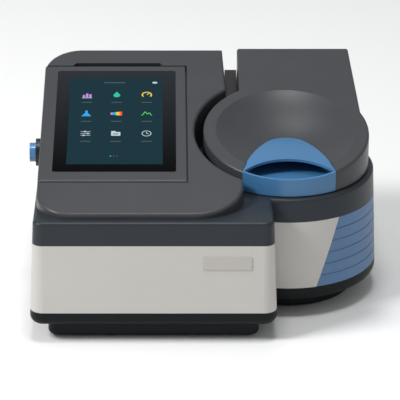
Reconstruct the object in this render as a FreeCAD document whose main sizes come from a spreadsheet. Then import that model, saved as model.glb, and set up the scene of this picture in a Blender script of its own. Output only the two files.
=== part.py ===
import FreeCAD, Part
import math
import os
import Sketcher
from types import SimpleNamespace

from FreeCAD import Placement, Rotation, Vector

# Bench-top UV-visible spectrophotometer: a box-shaped body with a sloping console and a tilting
# touch display on the left, and a round sample compartment with a hinged, dished lid on the right.
# Millimetres. +Z is up, +X to the right, +Y to the back. The origin is on the bench, under the
# middle of the whole instrument.

# Driving dimensions: name, value, what it is
SIZES = [
    ("draft_angle", 2.6, "lean of the outer walls, degrees"),
    ("box_left", -165.5, "left wall of the body at the seam under the dark band"),
    ("box_width", 231.0, "width of the box-shaped part at that seam"),
    ("front_wall", -142.4, "front wall at that seam"),
    ("back_wall", 145.4, "upright back wall"),
    ("corner_radius", 10.0, "upright corners of the body"),
    ("drum_middle_x", 81.5, "axis of the round sample compartment"),
    ("drum_middle_y", 3.4, "axis of the round sample compartment"),
    ("drum_radius", 88.8, "round compartment at the seam"),
    ("rear_block_right", 156.5, "right wall of the body behind the round compartment"),
    ("foot_height", 2.0, "rubber feet below the plinth"),
    ("foot_radius", 9.0, "rubber feet"),
    ("plinth_height", 16.0, "set-back plinth"),
    ("plinth_side_inset", 13.5, "plinth inside the side walls"),
    ("plinth_front_inset", 8.0, "plinth inside the front and back walls"),
    ("plinth_drum_inset", 17.5, "plinth inside the round wall"),
    ("plinth_rounding", 5.0, "lower edge of the plinth"),
    ("tray_height", 13.9, "black base tray above the plinth"),
    ("tray_rounding", 8.0, "lower edge of the base tray"),
    ("housing_height", 68.7, "light lower housing"),
    ("band_height", 23.2, "dark band at the front"),
    ("deck_slope", 3.0, "rise of the deck behind its bend, degrees"),
    ("deck_bend", -86.0, "where the deck starts to rise"),
    ("deck_rounding", 3.5, "top edge of the dark band"),
    ("wall", 2.6, "moulded walls"),
    ("seat_gap", 0.3, "clearance of a piece in its seat"),
    ("slope_angle", 14.3, "slope of the console and the lid, degrees"),
    ("console_left", -162.3, "left wall of the console"),
    ("console_front", -131.6, "front wall of the console"),
    ("console_step", 5.2, "height of the console above the deck at its front"),
    ("console_rounding", 3.0, "top edge of the console"),
    ("console_front_left_radius", 34.0, "console corner"),
    ("console_front_right_radius", 48.0, "console corner"),
    ("console_back_left_radius", 38.0, "console corner"),
    ("console_lobe_right", 36.9, "furthest right of the console's front lobe"),
    ("console_neck_right", 23.2, "console's right wall where the round cut-out ends"),
    ("console_back_right", 20.7, "console's right wall at the back"),
    ("console_nose_radius", 5.0, "nose between the lobe and the round cut-out"),
    ("cutout_radius", 91.0, "round cut-out of the console about the compartment"),
    ("plate_right", -18.3, "right edge of the display plate"),
    ("plate_start", 52.2, "lower edge of the display plate, up the slope"),
    ("plate_top_margin", 8.4, "display plate beyond the cover glass, up the slope"),
    ("plate_thickness", 6.0, "display plate"),
    ("plate_rounding", 2.0, "left edge of the display plate"),
    ("plate_gap", 1.8, "gap round the display plate"),
    ("glass_left", -148.5, "cover glass"),
    ("glass_width", 120.2, "cover glass"),
    ("glass_start", 68.5, "lower edge of the cover glass, up the slope"),
    ("glass_length", 175.5, "cover glass"),
    ("glass_thickness", 1.5, "cover glass"),
    ("lcd_left", -139.0, "display module"),
    ("lcd_width", 101.3, "display module"),
    ("lcd_start", 76.5, "display module, up the slope"),
    ("lcd_length", 158.0, "display module"),
    ("lcd_thickness", 5.0, "display module"),
    ("display_depth", 17.0, "depth of the display's back cover below the slope"),
    ("display_cover_margin", 3.0, "back cover outside the display module"),
    ("display_well_gap", 2.0, "room round the back cover in the console"),
    ("display_board_thickness", 1.6, "driver board behind the display module"),
    ("hinge_rod_radius", 0.8, "rod in the lower edge of the display plate"),
    ("running_gap", 0.05, "clearance of a shaft in its hole"),
    ("knuckle_radius", 1.8, "display hinge knuckles on the console"),
    ("knuckle_width", 8.0, "display hinge knuckles on the console"),
    ("knuckle_inset", 18.0, "knuckles inside the ends of the display plate"),
    ("scoop_left", -135.0, "finger scoop above the display plate"),
    ("scoop_width", 95.5, "finger scoop"),
    ("scoop_length", 6.5, "finger scoop along the slope"),
    ("scoop_depth", 10.0, "finger scoop"),
    ("scoop_slant", 4.5, "slanted ends of the finger scoop"),
    ("button_middle_y", -2.6, "power button"),
    ("button_middle_z", 141.7, "power button"),
    ("button_radius", 9.5, "power button"),
    ("button_proud", 11.0, "power button outside the console wall"),
    ("button_flange", 11.0, "radius of the power button's flange"),
    ("button_travel", 2.5, "power button"),
    ("button_ring_radius", 13.7, "raised ring round the power button"),
    ("button_ring_proud", 4.8, "raised ring round the power button"),
    ("lid_radius", 82.4, "round lid"),
    ("lid_gap", 1.2, "lid above the deck"),
    ("lid_neck_left", 36.2, "left side of the lid's neck"),
    ("lid_neck_right", 152.2, "right side of the lid's neck at the back"),
    ("lid_neck_flare", 5.5, "how much wider the neck is where it leaves the disc"),
    ("lid_rounding", 2.5, "top edge of the lid"),
    ("dish_radius", 70.0, "opening of the dish in the lid"),
    ("dish_depth", 15.0, "dish in the lid"),
    ("handle_half_width", 45.3, "half of the handle's width at the rim"),
    ("handle_reach", 75.9, "handle from its corners back into the dish"),
    ("handle_nose_radius", 22.0, "round back end of the handle"),
    ("handle_flank_radius", 180.0, "handle's long curved sides"),
    ("handle_hood_reach", 21.0, "front edge of the hood behind the handle's corners"),
    ("handle_hood_thickness", 2.6, "hood over the finger pocket"),
    ("handle_nose_drop", 13.8, "top of the hood's back end below the slope"),
    ("handle_lip", 1.8, "front and side walls of the handle"),
    ("handle_pocket_depth", 13.0, "finger pocket below the slope"),
    ("hinge_height", 150.0, "lid hinge axis"),
    ("hinge_setback", 12.4, "lid hinge axis in front of the back wall"),
    ("hinge_pin_radius", 4.0, "lid hinge pin"),
    ("hinge_post_radius", 8.0, "lid hinge posts"),
    ("hinge_post_width", 12.0, "lid hinge posts"),
    ("hinge_arm_radius", 7.0, "lugs of the lid on its hinge pin"),
    ("hinge_arm_width", 8.0, "lugs of the lid on its hinge pin"),
    ("hinge_spread", 38.0, "hinge posts either side of the neck's middle"),
    ("spine_drop", 22.5, "top of the rear spine below the slope"),
    ("spine_front", 76.0, "front end of the rear spine"),
    ("well_radius", 66.0, "sample well"),
    ("well_floor", 58.0, "height of the sample well's floor"),
    ("well_wall", 2.5, "sample well"),
    ("beam_height", 88.0, "light beam"),
    ("turret_pitch", 45.0, "cell positions about the turret's axis"),
    ("turret_positions", 8, "cell positions"),
    ("turret_radius", 56.0, "turret disc"),
    ("turret_disc_thickness", 4.0, "turret disc"),
    ("turret_lift", 2.0, "turret above the well's floor"),
    ("cell_width", 12.6, "square pocket for a cell"),
    ("cell_holder_width", 15.0, "square cell holder"),
    ("cell_drop", 15.0, "bottom of the cell below the beam"),
    ("cell_holder_top", 10.0, "top of the cell holder above the beam"),
    ("cell_window_width", 5.0, "light window in the cell holder"),
    ("cell_window_height", 13.0, "light window in the cell holder"),
    ("spindle_radius", 4.0, "turret spindle"),
    ("knob_radius", 13.0, "turret knob"),
    ("knob_height", 24.0, "turret knob above its disc"),
    ("gear_module", 1.5, "tooth size of the turret drive"),
    ("gear_teeth", 48, "wheel on the turret spindle"),
    ("pinion_teeth", 12, "pinion on the motor"),
    ("gear_face", 6.0, "gear width"),
    ("gear_level", 43.0, "underside of the gears"),
    ("gear_backlash", 0.16, "share of the pitch left free between teeth"),
    ("motor_radius", 18.0, "turret motor"),
    ("motor_height", 24.0, "turret motor"),
    ("plate_level", 64.0, "underside of the optics plate"),
    ("optics_thickness", 6.0, "optics plate"),
    ("fan_size", 60.0, "cooling fan frame"),
    ("fan_depth", 15.0, "cooling fan frame"),
    ("fan_middle_x", -112.0, "cooling fan"),
    ("fan_middle_z", 67.0, "cooling fan"),
    ("fan_blades", 7, "cooling fan"),
    ("rear_panel_left", -146.0, "rear panel"),
    ("rear_panel_width", 140.0, "rear panel"),
    ("rear_panel_low", 34.0, "rear panel"),
    ("rear_panel_height", 63.0, "rear panel"),
    ("rear_panel_thickness", 2.0, "rear panel"),
    ("rear_opening_margin", 5.0, "rear panel behind the edge of its opening"),
    ("badge_left", -3.0, "bare plate on the front wall"),
    ("badge_width", 46.5, "bare plate on the front wall"),
    ("badge_low", 77.0, "bare plate on the front wall"),
    ("badge_height", 12.5, "bare plate on the front wall"),
    ("badge_thickness", 0.8, "bare plate on the front wall"),
    ("accent_start", 18.0, "blue panel's lower front corner, degrees right of the front"),
    ("accent_lean", 16.0, "how much further round its upper corner is, degrees"),
    ("accent_end", 104.0, "blue panel's back edge, degrees right of the front"),
    ("accent_thickness", 1.0, "blue panel"),
    ("accent_grooves", 5, "grooves in the blue panel"),
]

doc = FreeCAD.newDocument("spectrophotometer")
sheet = doc.addObject("Spreadsheet::Sheet", "sizes")
pieces = []


class Measure:
    """A size with both its number and the sheet's formula for it."""

    def __init__(self, number, text):
        self.number = float(number)
        self.text = text

    def joined(self, sign, other, number, swapped=False):
        first, second = (other, self) if swapped else (self, other)
        return Measure(number, "(" + first.text + " " + sign + " " + second.text + ")")

    def __add__(self, other):
        other = measure(other)
        return self.joined("+", other, self.number + other.number)

    __radd__ = __add__

    def __sub__(self, other):
        other = measure(other)
        return self.joined("-", other, self.number - other.number)

    def __rsub__(self, other):
        other = measure(other)
        return self.joined("-", other, other.number - self.number, swapped=True)

    def __mul__(self, other):
        other = measure(other)
        return self.joined("*", other, self.number * other.number)

    __rmul__ = __mul__

    def __truediv__(self, other):
        other = measure(other)
        return self.joined("/", other, self.number / other.number)

    def __neg__(self):
        return 0 - self

    def __float__(self):
        return self.number


def measure(value):
    """Turn a plain number into a Measure and leave a Measure as it is."""
    return value if isinstance(value, Measure) else Measure(value, "(" + repr(float(value)) + ")")


def tangent(angle):
    return Measure(math.tan(math.radians(angle.number)), "tan(" + angle.text + ")")


def cosine(angle):
    return Measure(math.cos(math.radians(angle.number)), "cos(" + angle.text + ")")


def root(value):
    return Measure(math.sqrt(value.number), "sqrt(" + value.text + ")")


def read_sizes():
    """Fill the sheet and return its cells as Measures under their names."""
    cells = SimpleNamespace()
    for row, (name, value, note) in enumerate(SIZES, start=1):
        sheet.set("A%d" % row, note)
        sheet.set("B%d" % row, str(value))
        sheet.setAlias("B%d" % row, name)
        setattr(cells, name, Measure(value, "sizes." + name))
    doc.recompute()
    return cells


size = read_sizes()
ZERO = measure(0)

# Levels and places that follow from the driving dimensions
plinth_top = size.foot_height + size.plinth_height
tray_top = plinth_top + size.tray_height
seam = tray_top + size.housing_height
deck_front = seam + size.band_height
box_right = size.box_left + size.box_width
slope_rise = tangent(size.slope_angle)
slope_run = cosine(size.slope_angle)
deck_rise = tangent(size.deck_slope)
console_top_front = deck_front + size.console_step
hinge_y = size.back_wall - size.hinge_setback
LOW = deck_front - 40
HIGH = size.hinge_height + 80
WIDE = size.box_width * 2


def deck_at(y):
    """Height of the deck behind its bend."""
    return deck_front + (y - size.deck_bend) * deck_rise


def slope_at(y):
    """Height of the console's and the lid's sloping top."""
    return console_top_front + (y - size.console_front) * slope_rise


def lean_at(level):
    """How far the leaning walls stand outside their place at the seam."""
    return (seam - level) * tangent(size.draft_angle)


def bind(thing, path, value):
    """Tie one property to the sheet."""
    thing.setExpression(path, measure(value).text)


def piece(thing, label):
    """Name a finished sub-part."""
    thing.Label = label
    pieces.append(thing)
    return thing


def place(thing, x=0, y=0, z=0, angle=None, axis=Vector(1, 0, 0)):
    """Put a thing at a place that follows the sheet, turned about one axis if asked."""
    x, y, z = measure(x), measure(y), measure(z)
    turn = Rotation(axis, measure(angle or 0).number)
    thing.Placement = Placement(Vector(x.number, y.number, z.number), turn)
    for letter, value in zip("xyz", (x, y, z)):
        bind(thing, "Placement.Base." + letter, value)
    if isinstance(angle, Measure):
        bind(thing, "Placement.Rotation.Angle", angle)
    return thing


def on_slope(thing):
    """Put a thing drawn flat onto the sloping top: its X stays, its Y runs up the slope."""
    return place(thing, 0, size.console_front, console_top_front, size.slope_angle)


def body(name):
    return doc.addObject("PartDesign::Body", name)


def sketch_on(owner, name, role="XY_Plane", level=0):
    """A sketch on one of the body's own origin planes, moved along its normal by level."""
    sketch = owner.newObject("Sketcher::SketchObject", name)
    plane = next(item for item in owner.Origin.OriginFeatures if item.Role == role)
    sketch.AttachmentSupport = [(plane, "")]
    sketch.MapMode = "FlatFace"
    sketch.AttachmentOffset = Placement(Vector(0, 0, measure(level).number), Rotation())
    bind(sketch, "AttachmentOffset.Base.z", level)
    return sketch


def fix(sketch, kind, curve, value, point=None):
    """Constrain a point's X or Y, or a radius, to a value from the sheet."""
    if point is None:
        constraint = Sketcher.Constraint(kind, curve, value.number)
    else:
        constraint = Sketcher.Constraint(kind, -1, 1, curve, point, value.number)
    number = sketch.addConstraint(constraint)
    bind(sketch, "Constraints[%d]" % number, value)


def fix_point(sketch, curve, point, place_x, place_y):
    fix(sketch, "DistanceX", curve, measure(place_x), point)
    fix(sketch, "DistanceY", curve, measure(place_y), point)


def draw_circle(sketch, x, y, radius):
    x, y, radius = measure(x), measure(y), measure(radius)
    middle = Vector(x.number, y.number, 0)
    curve = sketch.addGeometry(Part.Circle(middle, Vector(0, 0, 1), radius.number))
    fix_point(sketch, curve, 3, x, y)
    fix(sketch, "Radius", curve, radius)


def draw_polygon(sketch, corners):
    corners = [(measure(x), measure(y)) for x, y in corners]
    flat = [Vector(x.number, y.number, 0) for x, y in corners]
    first = sketch.GeometryCount
    for here, there in zip(flat, flat[1:] + flat[:1]):
        sketch.addGeometry(Part.LineSegment(here, there))
    for index, corner in enumerate(corners):
        before = first + (index - 1) % len(corners)
        sketch.addConstraint(Sketcher.Constraint("Coincident", before, 2, first + index, 1))
        fix_point(sketch, first + index, 1, *corner)


def draw_rectangle(sketch, left, right, low, high):
    draw_polygon(sketch, [(left, low), (right, low), (right, high), (left, high)])


def draw_rounded(sketch, left, right, low, high, radius):
    """A rectangle with round corners: four arcs with fixed middles, joined by lines."""
    left, right, low, high = measure(left), measure(right), measure(low), measure(high)
    radius = measure(radius)
    middles = [(right - radius, high - radius), (left + radius, high - radius),
               (left + radius, low + radius), (right - radius, low + radius)]
    first = sketch.GeometryCount
    for turn, (x, y) in enumerate(middles):
        circle = Part.Circle(Vector(x.number, y.number, 0), Vector(0, 0, 1), radius.number)
        start = turn * math.pi / 2
        sketch.addGeometry(Part.ArcOfCircle(circle, start, start + math.pi / 2))
    for turn in range(4):
        here = sketch.getPoint(first + turn, 2)
        there = sketch.getPoint(first + (turn + 1) % 4, 1)
        sketch.addGeometry(Part.LineSegment(here, there))
    for turn, (x, y) in enumerate(middles):
        arc, side = first + turn, first + 4 + turn
        straight = ("Vertical", "Horizontal") if turn % 2 else ("Horizontal", "Vertical")
        fix_point(sketch, arc, 3, x, y)
        fix(sketch, "Radius", arc, radius)
        sketch.addConstraint(Sketcher.Constraint(straight[0], arc, 1, arc, 3))
        sketch.addConstraint(Sketcher.Constraint(straight[1], arc, 2, arc, 3))
        sketch.addConstraint(Sketcher.Constraint("Coincident", arc, 2, side, 1))
        sketch.addConstraint(Sketcher.Constraint("Coincident", first + (turn + 1) % 4, 1, side, 2))


def draw_edges(sketch, edges):
    """Lines and arcs that are worked out from the sheet's values in this file."""
    for edge in edges:
        sketch.addGeometry(edge)


def feature(owner, kind, sketch, **settings):
    """A PartDesign feature of a sketch; Measures are bound and the rest is set."""
    made = owner.newObject("PartDesign::" + kind, sketch.Name + "_" + kind)
    made.Profile = sketch
    for name, value in settings.items():
        if isinstance(value, Measure):
            setattr(made, name, value.number)
            bind(made, name, value)
        else:
            setattr(made, name, value)
    sketch.Visibility = False
    return made


def pad(owner, sketch, length, **settings):
    return feature(owner, "Pad", sketch, Length=measure(length), **settings)


def pocket(owner, sketch, length, **settings):
    return feature(owner, "Pocket", sketch, Length=measure(length), **settings)


def loft(owner, kind, name, draw, low, high):
    """A straight-sided loft between two outlines; draw(sketch, level) makes each of them."""
    sketches = []
    for end, level in (("low", low), ("high", high)):
        sketch = sketch_on(owner, name + "_" + end, level=level)
        draw(sketch, level)
        sketches.append(sketch)
    made = owner.newObject("PartDesign::" + kind, name)
    made.Profile = sketches[0]
    made.Sections = [sketches[1]]
    made.Ruled = True
    return made


def rounded_edges(owner, radius, chosen, kind="Fillet"):
    """Round or chamfer the edges of the body's last feature that chosen(edge) accepts."""
    doc.recompute()
    base = owner.Tip
    names = ["Edge%d" % (n + 1) for n, edge in enumerate(base.Shape.Edges) if chosen(edge)]
    made = owner.newObject("PartDesign::" + kind, base.Name + "_" + kind)
    made.Base = (base, names)
    bind(made, "Radius" if kind == "Fillet" else "Size", radius)
    return made


def block(name, x, y, z):
    """A box from three pairs of low and high places."""
    shape = doc.addObject("Part::Box", name)
    for prop, (low, high) in zip(("Length", "Width", "Height"), (x, y, z)):
        bind(shape, prop, measure(high) - low)
    return place(shape, x[0], y[0], z[0])


TURNS = {"z": (0, Vector(1, 0, 0)), "x": (90, Vector(0, 1, 0)), "y": (-90, Vector(1, 0, 0))}


def rod(name, radius, length, x, y, z, along="z"):
    """A cylinder that starts at a place and runs along an axis."""
    shape = doc.addObject("Part::Cylinder", name)
    bind(shape, "Radius", radius)
    bind(shape, "Height", length)
    angle, axis = TURNS[along]
    return place(shape, x, y, z, angle, axis)


def fuse(name, *parts):
    made = doc.addObject("Part::MultiFuse", name)
    made.Shapes = list(parts)
    made.Refine = False
    return made


def cut(name, base, *tools):
    made = doc.addObject("Part::Cut", name)
    made.Base = base
    made.Tool = tools[0] if len(tools) == 1 else fuse(name + "_tools", *tools)
    made.Refine = False
    return made


def common(name, first, second):
    made = doc.addObject("Part::Common", name)
    made.Base = first
    made.Tool = second
    made.Refine = False
    return made


def group(name, *parts):
    """Several separate solids in one node."""
    made = doc.addObject("Part::Compound", name)
    made.Links = list(parts)
    return made


def side_band(name, bottom, top, left=-WIDE, right=WIDE):
    """A wide prism between two lines in side view, each a list of (y, z) points, front to back."""
    owner = body(name)
    sketch = sketch_on(owner, name + "_profile", "YZ_Plane", left)
    draw_polygon(sketch, bottom + list(reversed(top)))
    pad(owner, sketch, right - left)
    return owner


FRONT_END = size.front_wall - 40
BACK_END = size.back_wall + 40


def deck_line(above=0):
    """The deck in side view, moved up by above."""
    return [(FRONT_END, deck_front + above), (size.deck_bend, deck_front + above),
            (BACK_END, deck_at(BACK_END) + above)]


def slope_line(below=0):
    """The sloping top in side view, moved down square to itself by below."""
    drop = below / cosine(size.slope_angle) if isinstance(below, Measure) else measure(below)
    return [(FRONT_END, slope_at(FRONT_END) - drop), (BACK_END, slope_at(BACK_END) - drop)]


def level_line(height):
    return [(FRONT_END, height), (BACK_END, height)]


# The body's outline: a box, the round compartment and the block behind it

def draw_box(sketch, level, inset=0):
    grow = lean_at(level) - inset
    draw_rounded(sketch, size.box_left - grow, box_right + grow, size.front_wall - grow,
                 size.back_wall - inset, size.corner_radius + grow)


def draw_drum(sketch, level, inset=0):
    """The drum's circle, half turned so that its seam lies inside the box."""
    sketch.AttachmentOffset = Placement(Vector(0, 0, measure(level).number),
                                        Rotation(Vector(0, 0, 1), 180))
    draw_circle(sketch, -size.drum_middle_x, -size.drum_middle_y,
                size.drum_radius + lean_at(level) - inset)


def draw_rear_block(sketch, level, inset=0):
    grow = lean_at(level) - inset
    draw_rounded(sketch, size.drum_middle_x - size.drum_radius / 2, size.rear_block_right + grow,
                 size.drum_middle_y + size.drum_radius / 4, size.back_wall - inset,
                 size.corner_radius + grow)


def body_outline(owner, name, low, high, kind="AdditiveLoft", inset=0, parts=("box", "rear", "drum")):
    """The leaning forms of the body between two levels, added or cut away."""
    for form, draw in (("box", draw_box), ("rear", draw_rear_block)):
        if form in parts:
            loft(owner, kind, name + "_" + form,
                 lambda sketch, level, draw=draw: draw(sketch, level, inset), low, high)
    if "drum" in parts:
        circle = sketch_on(owner, name + "_drum", level=low)
        draw_drum(circle, low, inset)
        if kind == "AdditiveLoft":
            pad(owner, circle, high - low, TaperAngle=-size.draft_angle)
        else:
            pocket(owner, circle, high - low, TaperAngle=-size.draft_angle, Reversed=True)


def plinth_outline(owner, name, low, high, inset, kind):
    """The plinth's two forms, straight down."""
    sketch = sketch_on(owner, name + "_box", level=low)
    draw_rounded(sketch, size.box_left + size.plinth_side_inset + inset,
                 box_right - size.plinth_side_inset - inset,
                 size.front_wall + size.plinth_front_inset + inset,
                 size.back_wall - size.plinth_front_inset - inset, size.corner_radius)
    round_sketch = sketch_on(owner, name + "_drum", level=low)
    draw_circle(round_sketch, size.drum_middle_x, size.drum_middle_y,
                size.drum_radius - size.plinth_drum_inset - inset)
    for item in (sketch, round_sketch):
        if kind == "Pad":
            pad(owner, item, high - low)
        else:
            pocket(owner, item, high - low, Reversed=True)


def lowest(level):
    """A test for edges that lie flat at a level."""
    return lambda edge: edge.BoundBox.ZMax - level.number < 0.01


def ray(degrees, reach):
    """A point seen from the drum's axis, degrees to the right of straight ahead."""
    turn = math.radians(degrees)
    return Vector(size.drum_middle_x.number + reach * math.sin(turn),
                  size.drum_middle_y.number - reach * math.cos(turn), 0)


def accent_form(name, inside, outside, low, high, spread):
    """A sheet round the drum's wall, from inside to outside of its face, with a leaning front edge."""
    def cone(label, out):
        shape = doc.addObject("Part::Cone", label)
        bind(shape, "Radius1", size.drum_radius + lean_at(low) + out)
        bind(shape, "Radius2", size.drum_radius + lean_at(high) + out)
        bind(shape, "Height", high - low)
        return place(shape, size.drum_middle_x, size.drum_middle_y, low)

    sheet_shape = cut(name + "_sheet", cone(name + "_outside", outside), cone(name + "_inside", inside))
    outlines = []
    lean_rate = size.accent_lean.number / (seam.number - tray_top.number)
    for level in (low.number, high.number):
        start = size.accent_start.number + lean_rate * (level - tray_top.number) - spread
        end = size.accent_end.number + spread
        spots = [ray(0, 0)]
        spots += [ray(start + (end - start) * step / 4, size.drum_radius.number * 2) for step in range(5)]
        outline = Part.makePolygon(spots + spots[:1])
        outline.translate(Vector(0, 0, level))
        outlines.append(outline)
    wedge = doc.addObject("Part::Feature", name + "_wedge")
    wedge.Shape = Part.makeLoft(outlines, True, True)
    return common(name, sheet_shape, wedge)


def side_accent_panel():
    """Blue panel that wraps the compartment's wall, with a leaning front edge and grooves."""
    thick = size.accent_thickness
    low, high = tray_top + 0.2, seam - 0.2
    blank = accent_form("accent_blank", 0.02 - thick, 0, low, high, 0)
    rings = []
    count = int(size.accent_grooves.number)
    for number in range(count):
        level = low + (high - low) * (number + 1) / (count + 1)
        ring = doc.addObject("Part::Torus", "groove_%d" % number)
        bind(ring, "Radius1", size.drum_radius + lean_at(level))
        bind(ring, "Radius2", thick * 0.6)
        rings.append(place(ring, size.drum_middle_x, size.drum_middle_y, level))
    return piece(cut("accent_grooved", blank, *rings), "side_accent_panel")


def base_tray():
    """Black pan with a set-back plinth that carries everything."""
    tray = body("base_tray")
    body_outline(tray, "tray", plinth_top, tray_top)
    rounded_edges(tray, size.tray_rounding, lowest(plinth_top))
    plinth_outline(tray, "plinth", size.foot_height, plinth_top + 1, 0, "Pad")
    rounded_edges(tray, size.plinth_rounding, lowest(size.foot_height))
    body_outline(tray, "tray_inside", plinth_top + size.wall, tray_top, "SubtractiveLoft", size.wall)
    plinth_outline(tray, "plinth_inside", size.foot_height + size.wall, plinth_top + size.wall,
                   size.plinth_rounding, "Pocket")
    return piece(tray, "base_tray")


def lower_housing():
    """Light moulded wall round the body, with a window for the rear panel."""
    shell = body("housing_shell")
    body_outline(shell, "housing", tray_top, seam)
    body_outline(shell, "housing_inside", tray_top, seam, "SubtractiveLoft", size.wall)
    window = sketch_on(shell, "rear_window", "XZ_Plane", -size.back_wall)
    margin = size.rear_opening_margin
    draw_rounded(window, size.rear_panel_left + margin,
                 size.rear_panel_left + size.rear_panel_width - margin,
                 size.rear_panel_low + margin,
                 size.rear_panel_low + size.rear_panel_height - margin, margin)
    pocket(shell, window, size.wall * 2, Reversed=True)
    recess = accent_form("accent_recess", -size.accent_thickness, 1, tray_top - 1, seam + 1, 0.2)
    return piece(cut("housing_recessed", shell, recess), "lower_housing")


def on_deck(edge):
    """A test for the edges that lie in the deck's surface, apart from the line of its bend."""
    points = [edge.valueAt(edge.FirstParameter), edge.valueAt(edge.LastParameter),
              edge.valueAt((edge.FirstParameter + edge.LastParameter) / 2)]
    heights = [max(deck_front.number, deck_at(measure(point.y)).number) for point in points]
    bend = all(abs(point.y - size.deck_bend.number) < 0.01 for point in points)
    flat = all(abs(point.z - height) < 0.05 for point, height in zip(points, heights))
    return flat and not bend


def deck_form(name, outline_parts, inset, rounding=None):
    """Some of the body's leaning forms, cut off at the deck's line and rounded there if asked."""
    owner = body(name)
    high = deck_front + 20
    body_outline(owner, name, seam, high, inset=inset, parts=outline_parts)
    sketch = sketch_on(owner, name + "_top", "YZ_Plane", -WIDE)
    draw_polygon(sketch, deck_line(-inset) + list(reversed(level_line(HIGH))))
    pocket(owner, sketch, WIDE * 2, Reversed=True)
    if rounding is not None:
        rounded_edges(owner, rounding, on_deck)
    return owner


def badge_plate():
    """Bare plate on the housing's front wall, at its right."""
    low, high = size.badge_low, size.badge_low + size.badge_height
    sheet_shape = body("badge_sheet")
    body_outline(sheet_shape, "badge_outside", low, high, inset=-size.badge_thickness, parts=("box",))
    body_outline(sheet_shape, "badge_inside", low, high, "SubtractiveLoft", measure(-0.02), ("box",))
    window = block("badge_window", (size.badge_left, size.badge_left + size.badge_width),
                   (size.front_wall - 20, size.front_wall + 5), (low, high))
    return piece(common("badge_cut", sheet_shape, window), "badge_plate")


def upper_housing():
    """Dark band with the deck, open under the console and over the sample well."""
    box, rear, drum = [deck_form("deck_" + form, (form,), ZERO, size.deck_rounding)
                       for form in ("box", "rear", "drum")]
    outer = fuse("deck_outside", fuse("deck_box_and_drum", box, drum), rear)
    inner = deck_form("deck_inside", ("box", "rear", "drum"), size.wall)
    opening = rod("well_opening", size.well_radius, HIGH, size.drum_middle_x, size.drum_middle_y, seam)
    under_console = block("console_opening", (size.console_left + 18, size.plate_right - 10),
                          (size.console_front + 24, size.back_wall - 30), (seam, HIGH))
    return piece(cut("upper_housing", outer, inner, opening, under_console), "upper_housing")


def arc_through(middle, radius, start, end):
    """The shorter arc of a circle between two of its points."""
    first = math.atan2(start.y - middle.y, start.x - middle.x)
    last = math.atan2(end.y - middle.y, end.x - middle.x)
    turn = (last - first + math.pi) % (2 * math.pi) - math.pi
    half = first + turn / 2
    between = middle + Vector(math.cos(half), math.sin(half), 0) * radius
    return Part.Arc(start, between, end)


def console_edges(inset):
    """The console seen from above: straight sides, three round corners and the round cut-out."""
    left = size.console_left.number + inset
    front = size.console_front.number + inset
    back = size.back_wall.number - inset
    drum = Vector(size.drum_middle_x.number, size.drum_middle_y.number, 0)
    cutout = size.cutout_radius.number + inset
    nose = size.console_nose_radius.number - inset
    lobe = size.console_front_right_radius.number
    front_left = size.console_front_left_radius.number
    back_left = size.console_back_left_radius.number
    lobe_middle = Vector(size.console_lobe_right.number - lobe, size.console_front.number + lobe, 0)
    reach = lobe - size.console_nose_radius.number
    spread = size.cutout_radius.number + size.console_nose_radius.number
    apart = drum.distanceToPoint(lobe_middle)
    along = (apart ** 2 + spread ** 2 - reach ** 2) / (2 * apart)
    across = math.sqrt(spread ** 2 - along ** 2)
    line = (lobe_middle - drum).normalize()
    side = Vector(-line.y, line.x, 0)
    nose_middle = min((drum + line * along + side * across * sign for sign in (1, -1)),
                      key=lambda point: -point.x)
    lobe_end = lobe_middle + (nose_middle - lobe_middle).normalize() * (lobe - inset)
    cutout_start = drum + (nose_middle - drum).normalize() * cutout
    neck_x = size.console_neck_right.number - inset
    neck_y = drum.y + math.sqrt(cutout ** 2 - (drum.x - neck_x) ** 2)
    back_x = size.console_back_right.number - inset
    points = [Vector(left + front_left - inset, front, 0), Vector(lobe_middle.x, front, 0), lobe_end,
              cutout_start, Vector(neck_x, neck_y, 0), Vector(back_x, back, 0),
              Vector(left + back_left - inset, back, 0),
              Vector(left, back - back_left + inset, 0), Vector(left, front + front_left - inset, 0)]
    corner_back = Vector(points[6].x, points[7].y, 0)
    corner_front = Vector(points[0].x, points[8].y, 0)
    return [Part.LineSegment(points[0], points[1]),
            arc_through(lobe_middle, lobe - inset, points[1], points[2]),
            arc_through(nose_middle, nose, points[2], points[3]),
            arc_through(drum, cutout, points[3], points[4]),
            Part.LineSegment(points[4], points[5]),
            Part.LineSegment(points[5], points[6]),
            arc_through(corner_back, back_left - inset, points[6], points[7]),
            Part.LineSegment(points[7], points[8]),
            arc_through(corner_front, front_left - inset, points[8], points[0])]


def on_slope_edge(edge):
    """A test for the edges that lie in the sloping top."""
    points = [edge.valueAt(edge.FirstParameter), edge.valueAt(edge.LastParameter),
              edge.valueAt((edge.FirstParameter + edge.LastParameter) / 2)]
    return all(abs(point.z - slope_at(measure(point.y)).number) < 0.05 for point in points)


def trim_above(owner, name, below):
    """Cut away what stands over the sloping top, moved down by below."""
    sketch = sketch_on(owner, name, "YZ_Plane", -WIDE)
    draw_polygon(sketch, slope_line(below) + list(reversed(level_line(HIGH + 100))))
    return pocket(owner, sketch, WIDE * 2, Reversed=True)


def trim_below(owner, name, above):
    """Cut away what reaches under the deck, moved up by above."""
    sketch = sketch_on(owner, name, "YZ_Plane", -WIDE)
    draw_polygon(sketch, level_line(0) + list(reversed(deck_line(above))))
    return pocket(owner, sketch, WIDE * 2, Reversed=True)


def console_body(name, inset, below, above):
    """The console as a solid between the deck and the slope."""
    owner = body(name)
    sketch = sketch_on(owner, name + "_outline", level=LOW)
    draw_edges(sketch, console_edges(inset.number))
    pad(owner, sketch, HIGH - LOW)
    trim_above(owner, name + "_slope", below)
    trim_below(owner, name + "_deck", above)
    return owner


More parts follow.
